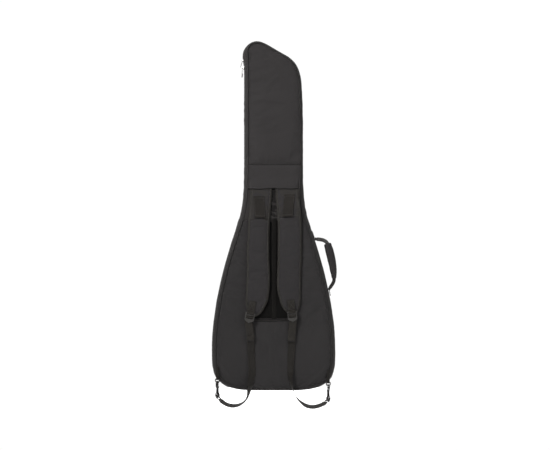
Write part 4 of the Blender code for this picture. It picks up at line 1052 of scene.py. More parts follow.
def flat_band(name, centre, across, width, thick, mat):
    """Flat tape along 3-D points; across is its width direction, one for all points or one each."""
    c = np.asarray(centre, float)
    w = np.zeros_like(c) + across
    t = tangents(c)
    w = w - t * (w * t).sum(1)[:, None]
    w /= np.linalg.norm(w, axis=1)[:, None]
    f = np.cross(t, w)
    s = arc_length(c)
    us = np.array([0, 0.03, 0.10, 0.3, 0.5, 0.7, 0.90, 0.97, 1.0])
    th = np.array([0.35, 0.8, 1, 1, 1, 1, 1, 0.8, 0.35])
    ring_u = np.concatenate([us, us[::-1]])
    ring_t = np.concatenate([th, -th[::-1]])
    P = (c[:, None] + w[:, None] * ((ring_u - 0.5) * width)[:, None]
         + f[:, None] * (ring_t * thick / 2)[:, None])
    uvs = np.zeros((len(c), len(ring_u), 2))
    uvs[..., 0] = ring_u[None]
    uvs[..., 1] = s[:, None]
    return tube_grid(name, P, mat, uv=uvs.reshape(-1, 2))


# pocket zip: tape and coil, stitched along both edges
xs = np.linspace(-0.116, 0.116, 160)
fp = float(front_plane(ZIP_Z))
o = flat_band("pocket_zip_tape", xyz(xs, fp + 0.0018, ZIP_Z),
              (0, 0, 1), 0.026, 0.0009, GUSSET)
place(o, "front_shell", "zip_tape")
o = coil_tube("pocket_zip_coil", xyz(xs, fp + 0.0026, ZIP_Z), 0.0026, COIL)
place(o, "front_shell", "zip_coil", "front_pocket_zip")
for dz in (-0.0095, 0.0095):
    stitches("front", xyz(xs, fp + 0.0024, ZIP_Z + dz), FORWARD)

# ------------------------------------------------------------------ main zip and spine
foot = int(np.argmin(np.abs(OUT[:, 1] - 0.105) + (OUT[:, 0] < 0) * 9))
order = [i % NO for i in range(SPINE_TOP, SPINE_TOP + NO)]
run = order[:order.index(foot) + 1]
for half, s, body in (("back", -1, "back_shell"), ("front", 1, "front_shell")):
    p = inset_poly(-0.0002)[run]
    pts = xyz(p[:, 0], Y_ZIP + s * 0.0023, p[:, 1])
    o = coil_tube(f"main_zip_coil_{half}", pts, 0.0021, COIL)
    place(o, body, "zip_coil", f"main_zip_teeth_{half}")
    p = inset_poly(0.0009)[run]
    wob = wave1(SARC, 0.02, 50 + s)[run] * 0.0003
    pts = xyz(p[:, 0] + wob * NIN[run, 0], Y_ZIP + s * 0.0082, p[:, 1] + wob * NIN[run, 1])
    o = flat_band(f"main_zip_cloth_{half}", pts, FORWARD, 0.0100, 0.0010, GUSSET)
    place(o, body, "zip_tape", f"main_zip_tape_{half}")
    q = inset_poly(-0.0009)[run]
    stitches("back" if s < 0 else "front",
             xyz(q[:, 0], Y_ZIP + s * 0.0138, q[:, 1]),
             xyz(-NIN[run, 0], 0, -NIN[run, 1]))

# fabric spine between the halves
spine_run = [i % NO for i in range(foot - 1 if foot > SPINE_TOP else foot + NO - 1, SPINE_TOP + NO + 2)]
p = inset_poly(0.0006)
ys = np.linspace(Y_ZIP - 0.0150, Y_ZIP + 0.0150, 17)
rows = []
for c, i in enumerate(spine_run):
    ring = []
    for y in ys:
        f = 1 - ((y - Y_ZIP) / 0.015) ** 2
        off = -0.0010 * f + 0.0011 * math.sin(c * 0.9 + 2.1 * math.sin(c * 0.23)) * f
        ring.append((p[i, 0] + NIN[i, 0] * off, y, p[i, 1] + NIN[i, 1] * off))
    rows.append(ring)
P = np.array(rows)
N = np.zeros_like(P)
N[..., 0], N[..., 2] = NIN[spine_run, 0][:, None], NIN[spine_run, 1][:, None]
o = sheet_grid("spine_fold_cloth", P, N, 0.0010, GUSSET)
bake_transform(o)
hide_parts("spine_fold")

# ------------------------------------------------------------------ inside
BACK_IN = [(0.0140, 0.0030), (0.0138, -0.0100), (0.0138, -0.0190), (0.0146, -0.0250), (0.0172, -0.0290),
           (0.0212, -0.0308)]
FRONT_IN = [(0.0140, 0.0130), (0.0138, 0.0220), (0.0138, 0.0285), (0.0148, 0.0325), (0.0176, 0.0350),
            (0.0216, 0.0359)]
ON_SPINE = ((OUT[:, 0] > 0) & (OUT[:, 1] > 0.125) & (OUT[:, 1] < 1.090)).astype(float)
SPINE_W = smooth_ring(ON_SPINE, 8, 3.5)


def half_y(side, y):
    return y if side == "back" else Y_ZIP + (y - Y_ZIP) * front_scale(OUT[:, 1])


def lining_band(side):
    prof = catmull(BACK_IN if side == "back" else FRONT_IN, False, 4)
    sgn = -1 if side == "back" else 1
    m = len(prof)
    P = np.zeros((NO, m, 3))
    w = wave1(SARC, 0.035, 61 + sgn) + 0.6 * wave1(SARC, 0.015, 64 + sgn)
    rim = Y_ZIP + sgn * (0.0050 + SPINE_W * (0.0085 if sgn < 0 else 0.0105))
    for j in range(m):
        u, y = prof[j]
        yy = np.asarray(half_y(side, y)) + np.zeros(NO)
        yy = np.minimum(yy, rim) if sgn < 0 else np.maximum(yy, rim)
        off = 0.0006 * w * math.sin(math.pi * j / (m - 1))
        P[:, j, ::2] = OUT + NIN * (u + off)[:, None]
        P[:, j, 1] = yy
    inner = P.copy()
    inner[:, :, ::2] -= NIN[:, None] * 0.0008
    inner[:, :, 1] += sgn * 0.0008
    return tube_grid(f"{side}_lining_side", np.concatenate([P, inner[:, ::-1]], 1), LINING, close_u=True)


def rim_binding(side):
    """Cloth-bound edge of the padded wall, between the shell cloth and the lining."""
    sgn = -1 if side == "back" else 1
    rim = Y_ZIP + sgn * (0.0046 + SPINE_W * (0.0085 if sgn < 0 else 0.0105))
    a = np.arange(12) * 2 * math.pi / 12
    P = np.zeros((NO, 12, 3))
    w = wave1(SARC, 0.018, 70 + sgn) * 0.0004
    for j, t in enumerate(a):
        P[:, j, ::2] = OUT + NIN * (0.0078 + 0.0066 * math.cos(t))
        P[:, j, 1] = rim + sgn * (0.0030 + 0.0030 * math.sin(t)) + w
    return tube_grid(f"{side}_edge_binding", P, GUSSET, close_u=True)


def lining_surface(side):
    def surface(x, z, d, k):
        seed = 31 if side == "back" else 33
        bulge = 0.0014 * (1 - np.exp(-d / 0.025)) + 0.0006 * field(x, z, 0.08, seed, 1.4)
        if side == "back":
            return -0.0306 + bulge * 0.4
        return Y_ZIP + (FRONT_BASE - 0.0141 - Y_ZIP) * front_scale(z) - 0.0002 - bulge * 0.3
    return surface


for side, body, toward in (("back", "back_shell", -1.0), ("front", "front_shell", 1.0)):
    o = lining_band(side)
    place(o, body, "lining", f"{side}_shell_lining")
    o = rim_binding(side)
    place(o, body, "foam", f"{side}_shell_foam")
    o = open_panel(f"{side}_lining_floor", 0.0200, None, None, lining_surface(side), LINING, 60, 0.009,
                   body, thick=0.0008, toward=toward)


def chaikin(p, times):
    p = np.asarray(p, float)
    for _ in range(times):
        q = np.roll(p, -1, 0)
        p = np.stack([0.75 * p + 0.25 * q, 0.25 * p + 0.75 * q], 1).reshape(-1, 2)
    return p


def soft_block(name, section, z0, z1, mat, edge=0.004, rows=22, seed=80.0):
    """Upholstered block: rounded x-y section carried up z, drawn in at both ends."""
    s = resample(chaikin(section, 2), 0.0030, closed=True)
    t = tangents(s, closed=True)
    n = np.stack([-t[:, 1], t[:, 0]], 1)                     # inward for a ring that runs left-handed
    if ((s - s.mean(0)) * n).sum() > 0:
        n = -n
    rings = []
    for f in np.linspace(0, 1, rows):
        f2 = 0.5 - 0.5 * math.cos(math.pi * f)
        z = z0 + (z1 - z0) * f2
        e = min(z - z0, z1 - z)
        pull = edge * (1 - math.sqrt(max(0.0, 1 - (1 - min(e / edge, 1)) ** 2)))
        ln = np.arange(len(s)) * 0.003
        wob = 0.0004 * wave1(ln + 13 * f, 0.02, seed)
        q = s + n * (pull + wob)[:, None]
        rings.append(xyz(q[:, 0], q[:, 1], z))
    return tube_grid(name, np.array(rings), mat)


cradle_half = [(0.035, -0.0306), (0.070, -0.0306), (0.070, -0.009), (0.070, 0.0120), (0.050, 0.0120),
               (0.031, 0.0120), (0.030, 0.002), (0.030, -0.0080), (0.020, -0.0160)]
left_half = [(-x, y) for x, y in reversed(cradle_half)]
section = left_half[-2:] + cradle_half + [(0.0, -0.0165)] + left_half[:-2]
CRADLE = soft_block("neck_rest_pad", section, 0.640, 0.690, LINING, edge=0.006)
place(CRADLE, "back_shell", "lining", "neck_cradle")


def patch(name, cx, cz, hx, hz, face, thick, mat, puff, key, nrm=FORWARD, corner=0.010, n=26, step_in=0.004):
    """Sewn rounded pad on the surface face(x, z), standing out along nrm, its stitching kept under key."""
    s = nrm[1]
    c = np.linspace(-1, 1, n)
    c = np.sign(c) * (1 - (1 - np.abs(c)) ** 1.4)
    X, Z = np.meshgrid(c * hx, c * hz, indexing="ij")
    ax, az = np.maximum(np.abs(X) - (hx - corner), 0), np.maximum(np.abs(Z) - (hz - corner), 0)
    over = np.hypot(ax, az)
    f = np.where(over > corner, corner / np.maximum(over, 1e-9), 1)
    X = np.where(over > corner, np.sign(X) * (hx - corner + ax * f), X)
    Z = np.where(over > corner, np.sign(Z) * (hz - corner + az * f), Z)
    d = np.minimum(hx - np.abs(X), hz - np.abs(Z))
    d = np.minimum(d, corner - np.hypot(np.maximum(np.abs(X) - (hx - corner), 0),
                                        np.maximum(np.abs(Z) - (hz - corner), 0)))
    d = np.maximum(d, 0)
    rise = thick * (0.45 + 0.55 * (1 - np.exp(-d / 0.0022))) + puff * (1 - np.exp(-d / 0.010))
    y = face(X + cx, Z + cz) + s * rise
    o = sheet_grid(name, xyz(X + cx, y, Z + cz), (0, -s, 0), thick * 0.4 + 0.0003, mat)
    t = np.linspace(0, 2 * math.pi, 160)
    qx = np.clip(np.cos(t) * 1.6, -1, 1) * (hx - step_in)
    qz = np.clip(np.sin(t) * 1.6, -1, 1) * (hz - step_in)
    qy = face(qx + cx, qz + cz) + s * (thick + puff * 0.25)
    stitches(key, xyz(qx + cx, qy, qz + cz), nrm)
    return o


PIN_PAD = patch("end_pin_cushion", 0.0, 0.0625, 0.080, 0.0325, lambda x, z: -0.0302 + 0 * x, 0.0020, LINING,
                0.0036, "back")
place(PIN_PAD, "back_shell", "lining", "end_pin_pad")
o = patch("bridge_guard_sheet", 0.0, 0.265, 0.075, 0.065,
          lambda x, z: Y_ZIP + (FRONT_BASE - 0.0146 - Y_ZIP) * front_scale(z), 0.0016, GUARD, 0.0004, "front",
          BACKWARD)
place(o, "front_shell", "guard_leather", "bridge_guard_patch")

# ------------------------------------------------------------------ hard pieces


def refine(node, body, bevel, mat, slot_name, name, segments=2, stout=1.0, turn=0.0, about=None):
    """The CAD shape of a moulded or cast piece with rounded edges and its own finish; stout widens it in x."""
    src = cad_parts[node]
    me = src.data.copy()
    me.name = name
    me.materials.clear()
    me.materials.append(mat)
    bm = bmesh.new()
    bm.from_mesh(me)
    bmesh.ops.remove_doubles(bm, verts=bm.verts, dist=2e-6)
    bmesh.ops.dissolve_limit(bm, angle_limit=math.radians(2.0), verts=bm.verts, edges=bm.edges)
    sharp = [e for e in bm.edges if len(e.link_faces) == 2 and e.calc_face_angle(0) > math.radians(32)]
    bmesh.ops.bevel(bm, geom=sharp, offset=bevel, segments=segments, profile=0.5, affect="EDGES",
                    clamp_overlap=True)
    bmesh.ops.recalc_face_normals(bm, faces=bm.faces)
    for f in bm.faces:
        f.smooth = True
        f.material_index = 0
    if stout != 1.0:
        mid = sum(v.co.x for v in bm.verts) / len(bm.verts)
        for v in bm.verts:
            v.co.x = mid + (v.co.x - mid) * stout
    if turn:
        ca, sa = math.cos(turn), math.sin(turn)
        for v in bm.verts:
            dx, dy = v.co.x - about[0], v.co.y - about[1]
            v.co.x, v.co.y = about[0] + dx * ca - dy * sa, about[1] + dx * sa + dy * ca
    bm.to_mesh(me)
    bm.free()
    me.set_sharp_from_angle(angle=math.radians(40))
    o = bpy.data.objects.new(name, me)
    bpy.context.scene.collection.objects.link(o)
    o.matrix_world = src.matrix_world
    bpy.context.view_layer.update()
    place(o, body, slot_name, node)
    return o


refine("main_zip_lower_slider", "lower_slider", 0.00035, NICKEL, "nickel", "lower_slider_casting")
refine("main_zip_upper_slider", "upper_slider", 0.00035, NICKEL, "nickel", "upper_slider_casting")
refine("front_pocket_slider", "pocket_slider", 0.00035, NICKEL, "nickel", "pocket_slider_casting")
refine("main_zip_lower_pull", "lower_pull", 0.00022, NICKEL, "nickel", "lower_pull_tab")
refine("main_zip_upper_pull", "upper_pull", 0.00022, PULL_DARK, "nickel", "upper_pull_tab")
refine("front_pocket_pull", "pocket_pull", 0.00022, NICKEL, "nickel", "pocket_pull_tab")
for side in ("left", "right"):
    refine(f"ladder_lock_{side}", f"buckle_{side}", 0.00090, BUCKLE, "plastic",
           f"ladder_lock_moulding_{side}", 3)
    spot, twist = (SIDES[side]["ring_x"], Y_RING), math.radians(19 if side == "left" else -17)
    refine(f"snap_hook_{side}", f"hook_{side}", 0.00060, PLASTIC, "plastic", f"snap_hook_moulding_{side}", 3,
           stout=1.55, turn=twist, about=spot)
    refine(f"hook_gate_{side}", f"gate_{side}", 0.00030, PLASTIC, "plastic", f"hook_gate_spring_{side}",
           turn=twist, about=spot)
    rx, bz = SIDES[side]["ring_x"], SIDES[side]["wire_z"] + RING_DROP
    ring = [(-0.0066, -0.0006), (-0.0058, 0.0), (0.0, 0.0), (0.0058, 0.0), (0.0066, -0.0006)]
    half_turn = [math.pi * k / 12 for k in range(13)]
    ring += [(0.0072 * math.cos(a), -0.0043 - 0.0072 * math.sin(a)) for a in half_turn]
    c = resample(np.array([(rx + x, Y_RING, bz + z) for x, z in ring]), 0.0009, closed=True)
    o = tube_round(f"d_ring_wire_{side}", c, 0.0017, GUNMETAL, n=12)
    place(o, f"ring_{side}", "nickel", f"d_ring_{side}")

# leather tab sewn through the end of the lower pull
lo, hi = (np.array(v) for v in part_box("main_zip_lower_pull"))
cx, cy, zb = lo[0] + 0.0016, (lo[1] + hi[1]) / 2, lo[2] + HANG_Z
rows = []
for f in np.linspace(0, 1, 14):
    z = zb - 0.0010 + 0.0150 * f
    wd = 0.0042 * min(1.0, 0.55 + 3 * f) * min(1.0, 0.8 + 2 * (1 - f))
    th = 0.0017 * min(1.0, 0.4 + 3 * f) * min(1.0, 0.5 + 3 * (1 - f))
    rows.append([(cx + 0.0012 * f + th * math.cos(a), cy + wd * math.sin(a), z)
                 for a in np.linspace(0, 2 * math.pi, 15)[:-1]])
o = tube_grid("lower_pull_leather", np.array(rows), LEATHER)
place(o, "lower_pull", "guard_leather")

# ------------------------------------------------------------------ shoulder straps
PADS = {}
TIP_ROUND = 0.0125                   # the pad's lower end is drawn in over this height


def pad_rows(side):
    """x left, x right and thickness as functions of height."""
    r = catmull(STRAP[side], False, 8)
    r = r[np.argsort(r[:, 0])]
    return lambda z: tuple(np.interp(z, r[:, 0], r[:, k]) for k in (1, 2, 3))


def pad_face(side, x, z):
    """y of the pad's outer face before simulation."""
    xl, xr, t = PADS[side](z)
    tip = PADS[side + "_tip"]
    e = np.minimum(np.minimum(x - xl, xr - x), (z - tip) * 0.9)
    e = np.maximum(e, 0)
    edge = np.minimum(0.0052, t * 0.75)
    curl = np.sqrt(np.clip(1 - (1 - np.clip(e / 0.0022, 0, 1)) ** 2, 0, 1))
    y = Y_STRAP - edge * curl * 0.62 - edge * 0.38
    y = y - (t - edge) * (1 - np.exp(-e / 0.0065))
    amp = 0.0006 * np.exp(-((e - 0.011) / 0.007) ** 2)
    s = 1.0 if side == "left" else 2.0
    y = y - amp * field(x * 0.6, z, 0.020, 90 + s)
    return y - 0.0005 * field(x, z, 0.07, 93 + s, 1.6) * (1 - np.exp(-e / 0.010))


def pad_edges(side, z):
    """Middle and half width of a pad at height z, drawn in round its lower end."""
    xl, xr, _ = PADS[side](z)
    close = math.sqrt(max(0.02, 1 - (1 - min((z - PADS[side + "_tip"]) / TIP_ROUND, 1)) ** 2))
    return (xl + xr) / 2, (xr - xl) / 2 * close


QF = np.array([0, 0.02, 0.05, 0.10, 0.15, 0.20, 0.27, 0.36, 0.48, 0.62, 0.80, 1.0])


def strap_pad_piece(side):
    rows = np.array(STRAP[side])
    PADS[side] = pad_rows(side)
    tip = rows[:, 0].min() - 0.0030
    PADS[side + "_tip"] = tip
    top = rows[:, 0].max() + 0.012
    zs = np.concatenate([tip + TIP_ROUND * (1 - np.cos(np.linspace(0, math.pi / 2, 9))),
                         np.arange(tip + 0.0158, top, 0.0033)])
    P = []
    for z in zs:
        mid, h = pad_edges(side, z)
        ring = []
        for q in np.concatenate([-1 + QF, (1 - QF[::-1])[1:]]):
            x = mid + q * h
            ring.append((x, pad_face(side, x, z), z))
        for q in np.linspace(1, -1, 10)[1:-1]:
            ring.append((mid + q * h, Y_STRAP, z))
        P.append(ring)
    P = np.array(P)
    o = tube_grid(f"strap_padding_{side}", P, STRAPF)
    nf = 2 * len(QF) - 1
    pin = np.ones(P.shape[:2])
    pin[8:-2, 5:nf - 5] = 0
    pin[8:-2, 4] = pin[8:-2, nf - 5] = 0.6
    finish_soft(o, pin.ravel(), frames=12, shrink=-0.008, pressure=1.4, cap=0.0012)
    place(o, f"strap_{side}", "shell_nylon", f"strap_pad_{side}")
    # edge binding down one side, round the end and up the other
    path = []
    for z in zs[:0:-1]:
        mid, h = pad_edges(side, z)
        path.append((mid - h, z))
    mid, h = pad_edges(side, zs[0])
    for f in np.linspace(0.15, 0.85, 6):
        path.append((mid - h + 2 * h * f, tip))
    for z in zs[1:]:
        mid, h = pad_edges(side, z)
        path.append((mid + h, z))
    path = resample(np.array(path), 0.0030)
    tg = tangents(path)
    for _ in range(3):
        tg[1:-1] = (tg[:-2] + tg[1:-1] + tg[2:]) / 3
    tg /= np.linalg.norm(tg, axis=1)[:, None]
    inw = np.stack([-tg[:, 1], tg[:, 0]], 1)
    if inw[5, 0] < 0:
        inw = -inw
    wd = 0.0068 + 0.0003 * wave1(np.arange(len(path)) * 0.003, 0.03, 97)
    G = np.zeros((len(path), 9, 3))
    for j, f in enumerate((1.0, 0.97, 0.7, 0.4, 0.18, 0.0)):
        q = path + inw * (wd * f)[:, None]
        y = pad_face(side, q[:, 0], q[:, 1]) - (0.0001 if j == 0 else 0.0007)
        out = 0.0006 if f == 0 else 0.0
        G[:, j] = xyz(q[:, 0] - inw[:, 0] * out, y, q[:, 1] - inw[:, 1] * out)
    for j, (f, dy) in enumerate(((-0.0007, -0.0010), (0.0002, 0.0004), (0.0050, 0.0005))):
        q = path + inw * f
        G[:, 6 + j] = xyz(q[:, 0], Y_STRAP + dy, q[:, 1])
    o = tube_grid(f"strap_edge_binding_{side}", G, BINDING)
    place(o, f"strap_{side}", "panel_nylon")
    q = path + inw * 0.0050
    ok = q[:, 1] < FLAP_LOW + 0.004
    q = q[ok]
    stitches(f"strap_{side}", xyz(q[:, 0], pad_face(side, q[:, 0], q[:, 1]) - 0.0008, q[:, 1]), BACKWARD)


def on_pad(side, name, x0, x1, z0, z1, skew, mat, lift, thick, ripple=0.0, lip=0.0):
    """Flat cloth sewn on the pad's face between two heights."""
    zs, cs = np.linspace(z0, z1, 34), np.linspace(0, 1, 26)
    zm = (z0 + z1) / 2
    G = np.zeros((34, 26, 3))
    for i, z in enumerate(zs):
        x = x0 + (x1 - x0) * cs + skew * (z - zm)
        zz = z + 0.0006 * wave1(cs, 0.2, 99) * (i in (0, 33)) + np.zeros(26)
        y = pad_face(side, x, zz) - lift - lip * math.exp(-(z - z0) / 0.009)
        y -= ripple * wave1(cs * 0.03 + z, 0.011, 101)
        G[i] = xyz(x, y, zz)
    o = sheet_grid(name, G, FORWARD, thick, mat)
    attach(o, f"strap_{side}")
    return o, G


def box_stitch(key, corners, nrm, cross=True):
    """Sewn box with a cross through it; corners in order round the box."""
    c = [np.array(v, float) for v in corners]
    runs = [(c[i], c[(i + 1) % 4]) for i in range(4)] + ([(c[0], c[2]), (c[1], c[3])] if cross else [])
    for a, b in runs:
        line = a + (b - a) * np.linspace(0, 1, 12)[:, None]
        stitches(key, line, nrm, length=0.0024, gap=0.0010, r=0.00030)


for side in ("left", "right"):
    strap_pad_piece(side)
    info = SIDES[side]
    a = info["lean"]
    down, wide_dir = np.array([math.sin(a), 0, -math.cos(a)]), np.array([math.cos(a), 0, math.sin(a)])
    base = np.array([info["buckle"][0], Y_BUCKLE, info["buckle"][1]])

    def at(v, out, across=0.0):
        return base + down * v / 1000 + np.array([0, -1.0, 0]) * out / 1000 + wide_dir * across / 1000
    lowp = 0.5930 if side == "left" else 0.6035
    xl, xr, _ = PADS[side](lowp)
    o, G = on_pad(side, f"strap_reinforcement_{side}", xl + 0.0055, xr - 0.0055, lowp, 0.7080, 0.02, TABF,
                  0.0007, 0.0008, 0.0003)
    stitches(f"strap_{side}", G[2] + (0, -0.0002, 0), BACKWARD)
    q = G[0].copy()
    q[:, 2] -= 0.0045
    q[:, 1] = pad_face(side, q[:, 0], q[:, 2]) - 0.0002
    stitches(f"strap_{side}", q, BACKWARD)
    c, low, high, k = (-0.0487, 0.607, 0.677, 0.06) if side == "left" else (0.0525, 0.611, 0.684, -0.10)
    o, G = on_pad(side, f"strap_top_tab_{side}", c - 0.019, c + 0.019, low - 0.006, high, -k, TOPTAB, 0.0022,
                  0.0014, lip=0.0050)
    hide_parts(f"strap_tab_{side}")
    corners = [G[i, j] + (0, -0.0002, 0) for i, j in ((3, 2), (3, 23), (30, 23), (30, 2))]
    box_stitch(f"strap_{side}", corners, BACKWARD, False)
    # webbing tab round the buckle's top bar
    path = [(-42, -2.35), (-20, -2.35), (-2, -2.35), (2.9, -2.2), (5.1, -0.3), (5.1, 3.5), (3.7, 5.5),
            (0.2, 5.7), (-2.2, 4.2), (-2.9, 1.6), (-4.9, -0.4), (-20, -0.45), (-40, -0.45)]
    path = resample(catmull(np.array(path), False, 6), 0.9)
    pts = np.array([at(v, out) for v, out in path])
    o = flat_band(f"buckle_loop_{side}", pts, wide_dir, WEB_W, WEB_T, WEB_OUTER_LIT)
    place(o, f"strap_{side}", "webbing", f"buckle_tab_{side}")
    box_stitch(f"strap_{side}", [at(-37, 0.35, -10), at(-37, 0.35, 10), at(-9, 0.35, 10), at(-9, 0.35, -10)],
               BACKWARD)
    # tail over the grip bar
    tail = [(11.6, 1.8), (11.6, 3.6), (13.2, 5.05), (17.4, 5.05), (19.1, 3.6), (19.1, 1.4), (20.8, -0.7),
            (25.0, -1.2), (36.0, -1.3)]
    pts = [at(v, out) for v, out in tail]
    wide = [wide_dir] * len(tail)
    end, drop = pts[-1], 0.1715 + (0.002 if side == "left" else 0.0)
    web_x = -0.0805 if side == "left" else 0.0633
    for t in (0.25, 0.5, 0.75, 1.0):
        pts.append(np.array([end[0] + (web_x - end[0]) * min(1.0, t * 1.3), end[1] + 0.0035 * t,
                             end[2] + (drop - end[2]) * t]))
        wide.append(np.array([1.0, 0, 0]))
    pw = resample(catmull(np.hstack([pts, wide]), False, 6), 0.0016)
    o = flat_band(f"webbing_free_end_{side}", pw[:, :3], pw[:, 3:], WEB_W, WEB_T, WEB_OUTER_LIT)
    place(o, f"buckle_{side}", "webbing", f"webbing_tail_{side}")
    q = pts[-1]
    hem = [(q[0], q[1] - 0.0014, q[2] + 0.0165), (q[0], q[1] - 0.0021, q[2] + 0.012),
           (q[0], q[1] - 0.0022, q[2] + 0.004), (q[0], q[1] - 0.0012, q[2] - 0.0008)]
    hw = resample(catmull(np.hstack([hem, [wide[-1]] * 4]), False, 6), 0.0012)
    o = flat_band(f"webbing_tail_hem_{side}", hw[:, :3], hw[:, 3:], WEB_W + 0.0006, WEB_T, WEB_OUTER_LIT)
    place(o, f"buckle_{side}", "webbing")
    # dark strip across the tail's cut end: partly the darker heat-sealed end, partly painted shadow under the
    # tail's hem
    sealed_end_shade = resample(np.array([q + (0, -0.0020, 0.0006), q + (0, -0.0012, -0.0030)]), 0.0009)
    o = flat_band(f"webbing_tail_sealed_end_shade_{side}", sealed_end_shade, (1, 0, 0), WEB_W - 0.0006,
                  WEB_T, PIPING_AND_SHADOW)
    place(o, f"buckle_{side}", "webbing")
    box = [(q[0] - 0.0105, q[1] - 0.0008, q[2] + 0.003), (q[0] + 0.0105, q[1] - 0.0008, q[2] + 0.003),
           (q[0] + 0.0105, q[1] - 0.0010, q[2] + 0.012), (q[0] - 0.0105, q[1] - 0.0010, q[2] + 0.012)]
    box_stitch(f"buckle_{side}", box, BACKWARD, False)
    # loaded strand in its loop down to the hook
    pts = [at(v, out) for v, out in ((11.6, 1.2), (11.6, -0.6), (13.4, -2.9), (20.0, -3.05), (30.0, -3.1))]
    wide = [wide_dir] * 5
    if side == "left":
        route = [(-0.0805, -0.0608, 0.2083), (-0.0795, -0.0570, 0.1700), (-0.0790, -0.0545, 0.1435),
                 (-0.0765, -0.0530, 0.0890), (-0.0745, -0.0535, 0.0665), (-0.0775, -0.0575, 0.0430),
                 (-0.0810, -0.0612, 0.0193), (-0.0850, -0.0625, 0.0000), (-0.0879, -0.0600, -0.0158),
                 (-0.0950, -0.0560, -0.0325), (-0.1070, -0.0520, -0.0455), (-0.1229, -0.0520, -0.0540),
                 (-0.1421, -0.0520, -0.0568), (-0.1596, -0.0520, -0.0536), (-0.1736, -0.0520, -0.0466),
                 (-0.1835, -0.0520, -0.0390)]
        turn, near = [0, 0, 0, 0.05, 0.12, 0.26, 0.42, 0.60, 0.78, 0.92] + [1] * 6, 1.0
    else:
        route = [(0.0633, -0.0608, 0.2083), (0.0630, -0.0570, 0.1700), (0.0627, -0.0545, 0.1450),
                 (0.0590, -0.0545, 0.0890), (0.0580, -0.0568, 0.0665), (0.0584, -0.0602, 0.0430),
                 (0.0627, -0.0622, 0.0193), (0.0679, -0.0626, 0.0000), (0.0725, -0.0600, -0.0135),
                 (0.0819, -0.0560, -0.0275), (0.0924, -0.0520, -0.0403), (0.1060, -0.0520, -0.0515),
                 (0.1204, -0.0520, -0.0582), (0.1379, -0.0520, -0.0605), (0.1554, -0.0520, -0.0575),
                 (0.1700, -0.0520, -0.0520), (0.1790, -0.0520, -0.0475)]
        turn, near = [0, 0, 0.05, 0.20, 0.35, 0.60, 0.80, 0.95] + [1] * 9, -1.0
    rt = np.gradient(np.array(route)[:, (0, 2)], axis=0)
    for k, ((x, y, z), q) in enumerate(zip(route, turn)):
        pts.append(np.array([x, y, z]))
        g = rt[k] / np.linalg.norm(rt[k])
        tilt = math.radians(40) * float(smoothstep(7.5, 12.5, k))          # shows some face near the hook
        w = np.array([math.cos(q * math.pi / 2), math.sin(q * math.pi / 2) * near, 0.0])
        wide.append(w * math.cos(tilt) + np.array([-g[1], 0, g[0]]) * math.sin(tilt))
    bar = np.array([info["ring_x"], Y_RING, info["wire_z"] - 0.0505])
    s = -near
    ends = [(0.0010, -0.0046), (0.0040, -0.0020), (0.0040, 0.0016), (0.0014, 0.0036), (-0.0030, 0.0026)]
    ends += {"left": [(-0.0075, -0.0020), (-0.0125, -0.0072)],
             "right": [(-0.0075, 0.0008), (-0.0125, -0.0022)]}[side]
    for dx, dz in ends:
        pts.append(bar + (s * dx, 0, dz))
        wide.append(np.array([0.0, near, 0.0]))
    pw = resample(catmull(np.hstack([pts, wide]), False, 6), 0.0018)
    o = flat_band(f"strap_webbing_run_{side}", pw[:, :3], pw[:, 3:], WEB_W, WEB_T, WEBBING)
    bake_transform(o)
    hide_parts(f"strap_webbing_{side}")
    # corner tab round the ring's bar
    rx, bz = info["ring_x"], info["wire_z"] + RING_DROP
    path = [(0.0022, 0.0440), (0.0012, 0.0300), (-0.0010, 0.0180), (-0.0016, 0.0080)]
    path += [(-0.0024 * math.cos(math.radians(k)), -0.0024 * math.sin(math.radians(k)))
             for k in (0, 35, 75, 110, 150, 185)]
    path += [(0.0020, 0.0060), (0.0022, 0.0095)]
    pts = resample(catmull([(rx, Y_RING + dy, bz + dz) for dy, dz in path], False, 5), 0.0009)
    o = flat_band(f"corner_tab_loop_{side}", pts, (1, 0, 0), 0.0100, WEB_T, WEBBING)
    place(o, "back_shell", "webbing", f"corner_tab_{side}")

# ------------------------------------------------------------------ carry handle
curve = [(0.1455, 0.5268), (0.1500, 0.5262), (0.1690, 0.5240), (0.1800, 0.5200)] + HANDLE_ARC + \
    [(0.2100, 0.3720), (0.2018, 0.3590), (0.1968, 0.3515), (0.1946, 0.3468)]
line = resample(catmull(curve, False, 8), 0.0020)
pts = xyz(line[:, 0], HANDLE_Y, line[:, 1])
g = tangents(pts)
ends = np.minimum(np.arange(len(pts)), len(pts) - 1 - np.arange(len(pts))) * 0.002
lean = np.radians(27) * np.clip(ends / 0.010, 0.75, 1)
across = xyz(0, np.cos(lean), 0) + xyz(-g[:, 2], 0, g[:, 0]) * np.sin(lean)[:, None]
o = flat_band("handle_strap", pts, across, WEB_W, 0.0036, WEBBING)
place(o, "carry_handle", "webbing", "handle_webbing")
mid = resample(catmull(HANDLE_ARC, False, 8), 0.0028)
tg = tangents(mid)
out_dir = np.stack([tg[:, 1], -tg[:, 0]], 1)
if out_dir[len(mid) // 2, 0] < 0:
    out_dir = -out_dir
rings = []
for k in range(len(mid)):
    f = k / (len(mid) - 1)
    th = float(np.interp(f * 4, range(5), [0.0128, 0.0148, 0.0142, 0.0122, 0.0076]))
    end = math.sqrt(max(0.05, 1 - (1 - min(f / 0.05, (1 - f) / 0.05, 1.0)) ** 2))
    ring = []
    for j in range(28):
        a = 2 * math.pi * j / 28
        ca, sa = math.cos(a), math.sin(a)
        r = 1 + 0.028 * float(wave1(np.array([f * 0.14 + 3.0 * j / 28]), 0.011, 110)[0]) \
            - 0.05 * math.exp(-((a - 2.4) / 0.10) ** 2)
        c = np.array([mid[k, 0] + out_dir[k, 0] * th * ca * r * (0.35 + 0.65 * end),
                      HANDLE_Y + 0.0160 * sa * r * (0.55 + 0.45 * end),
                      mid[k, 1] + out_dir[k, 1] * th * ca * r * (0.35 + 0.65 * end)])
        ring.append(c)
    rings.append(ring)
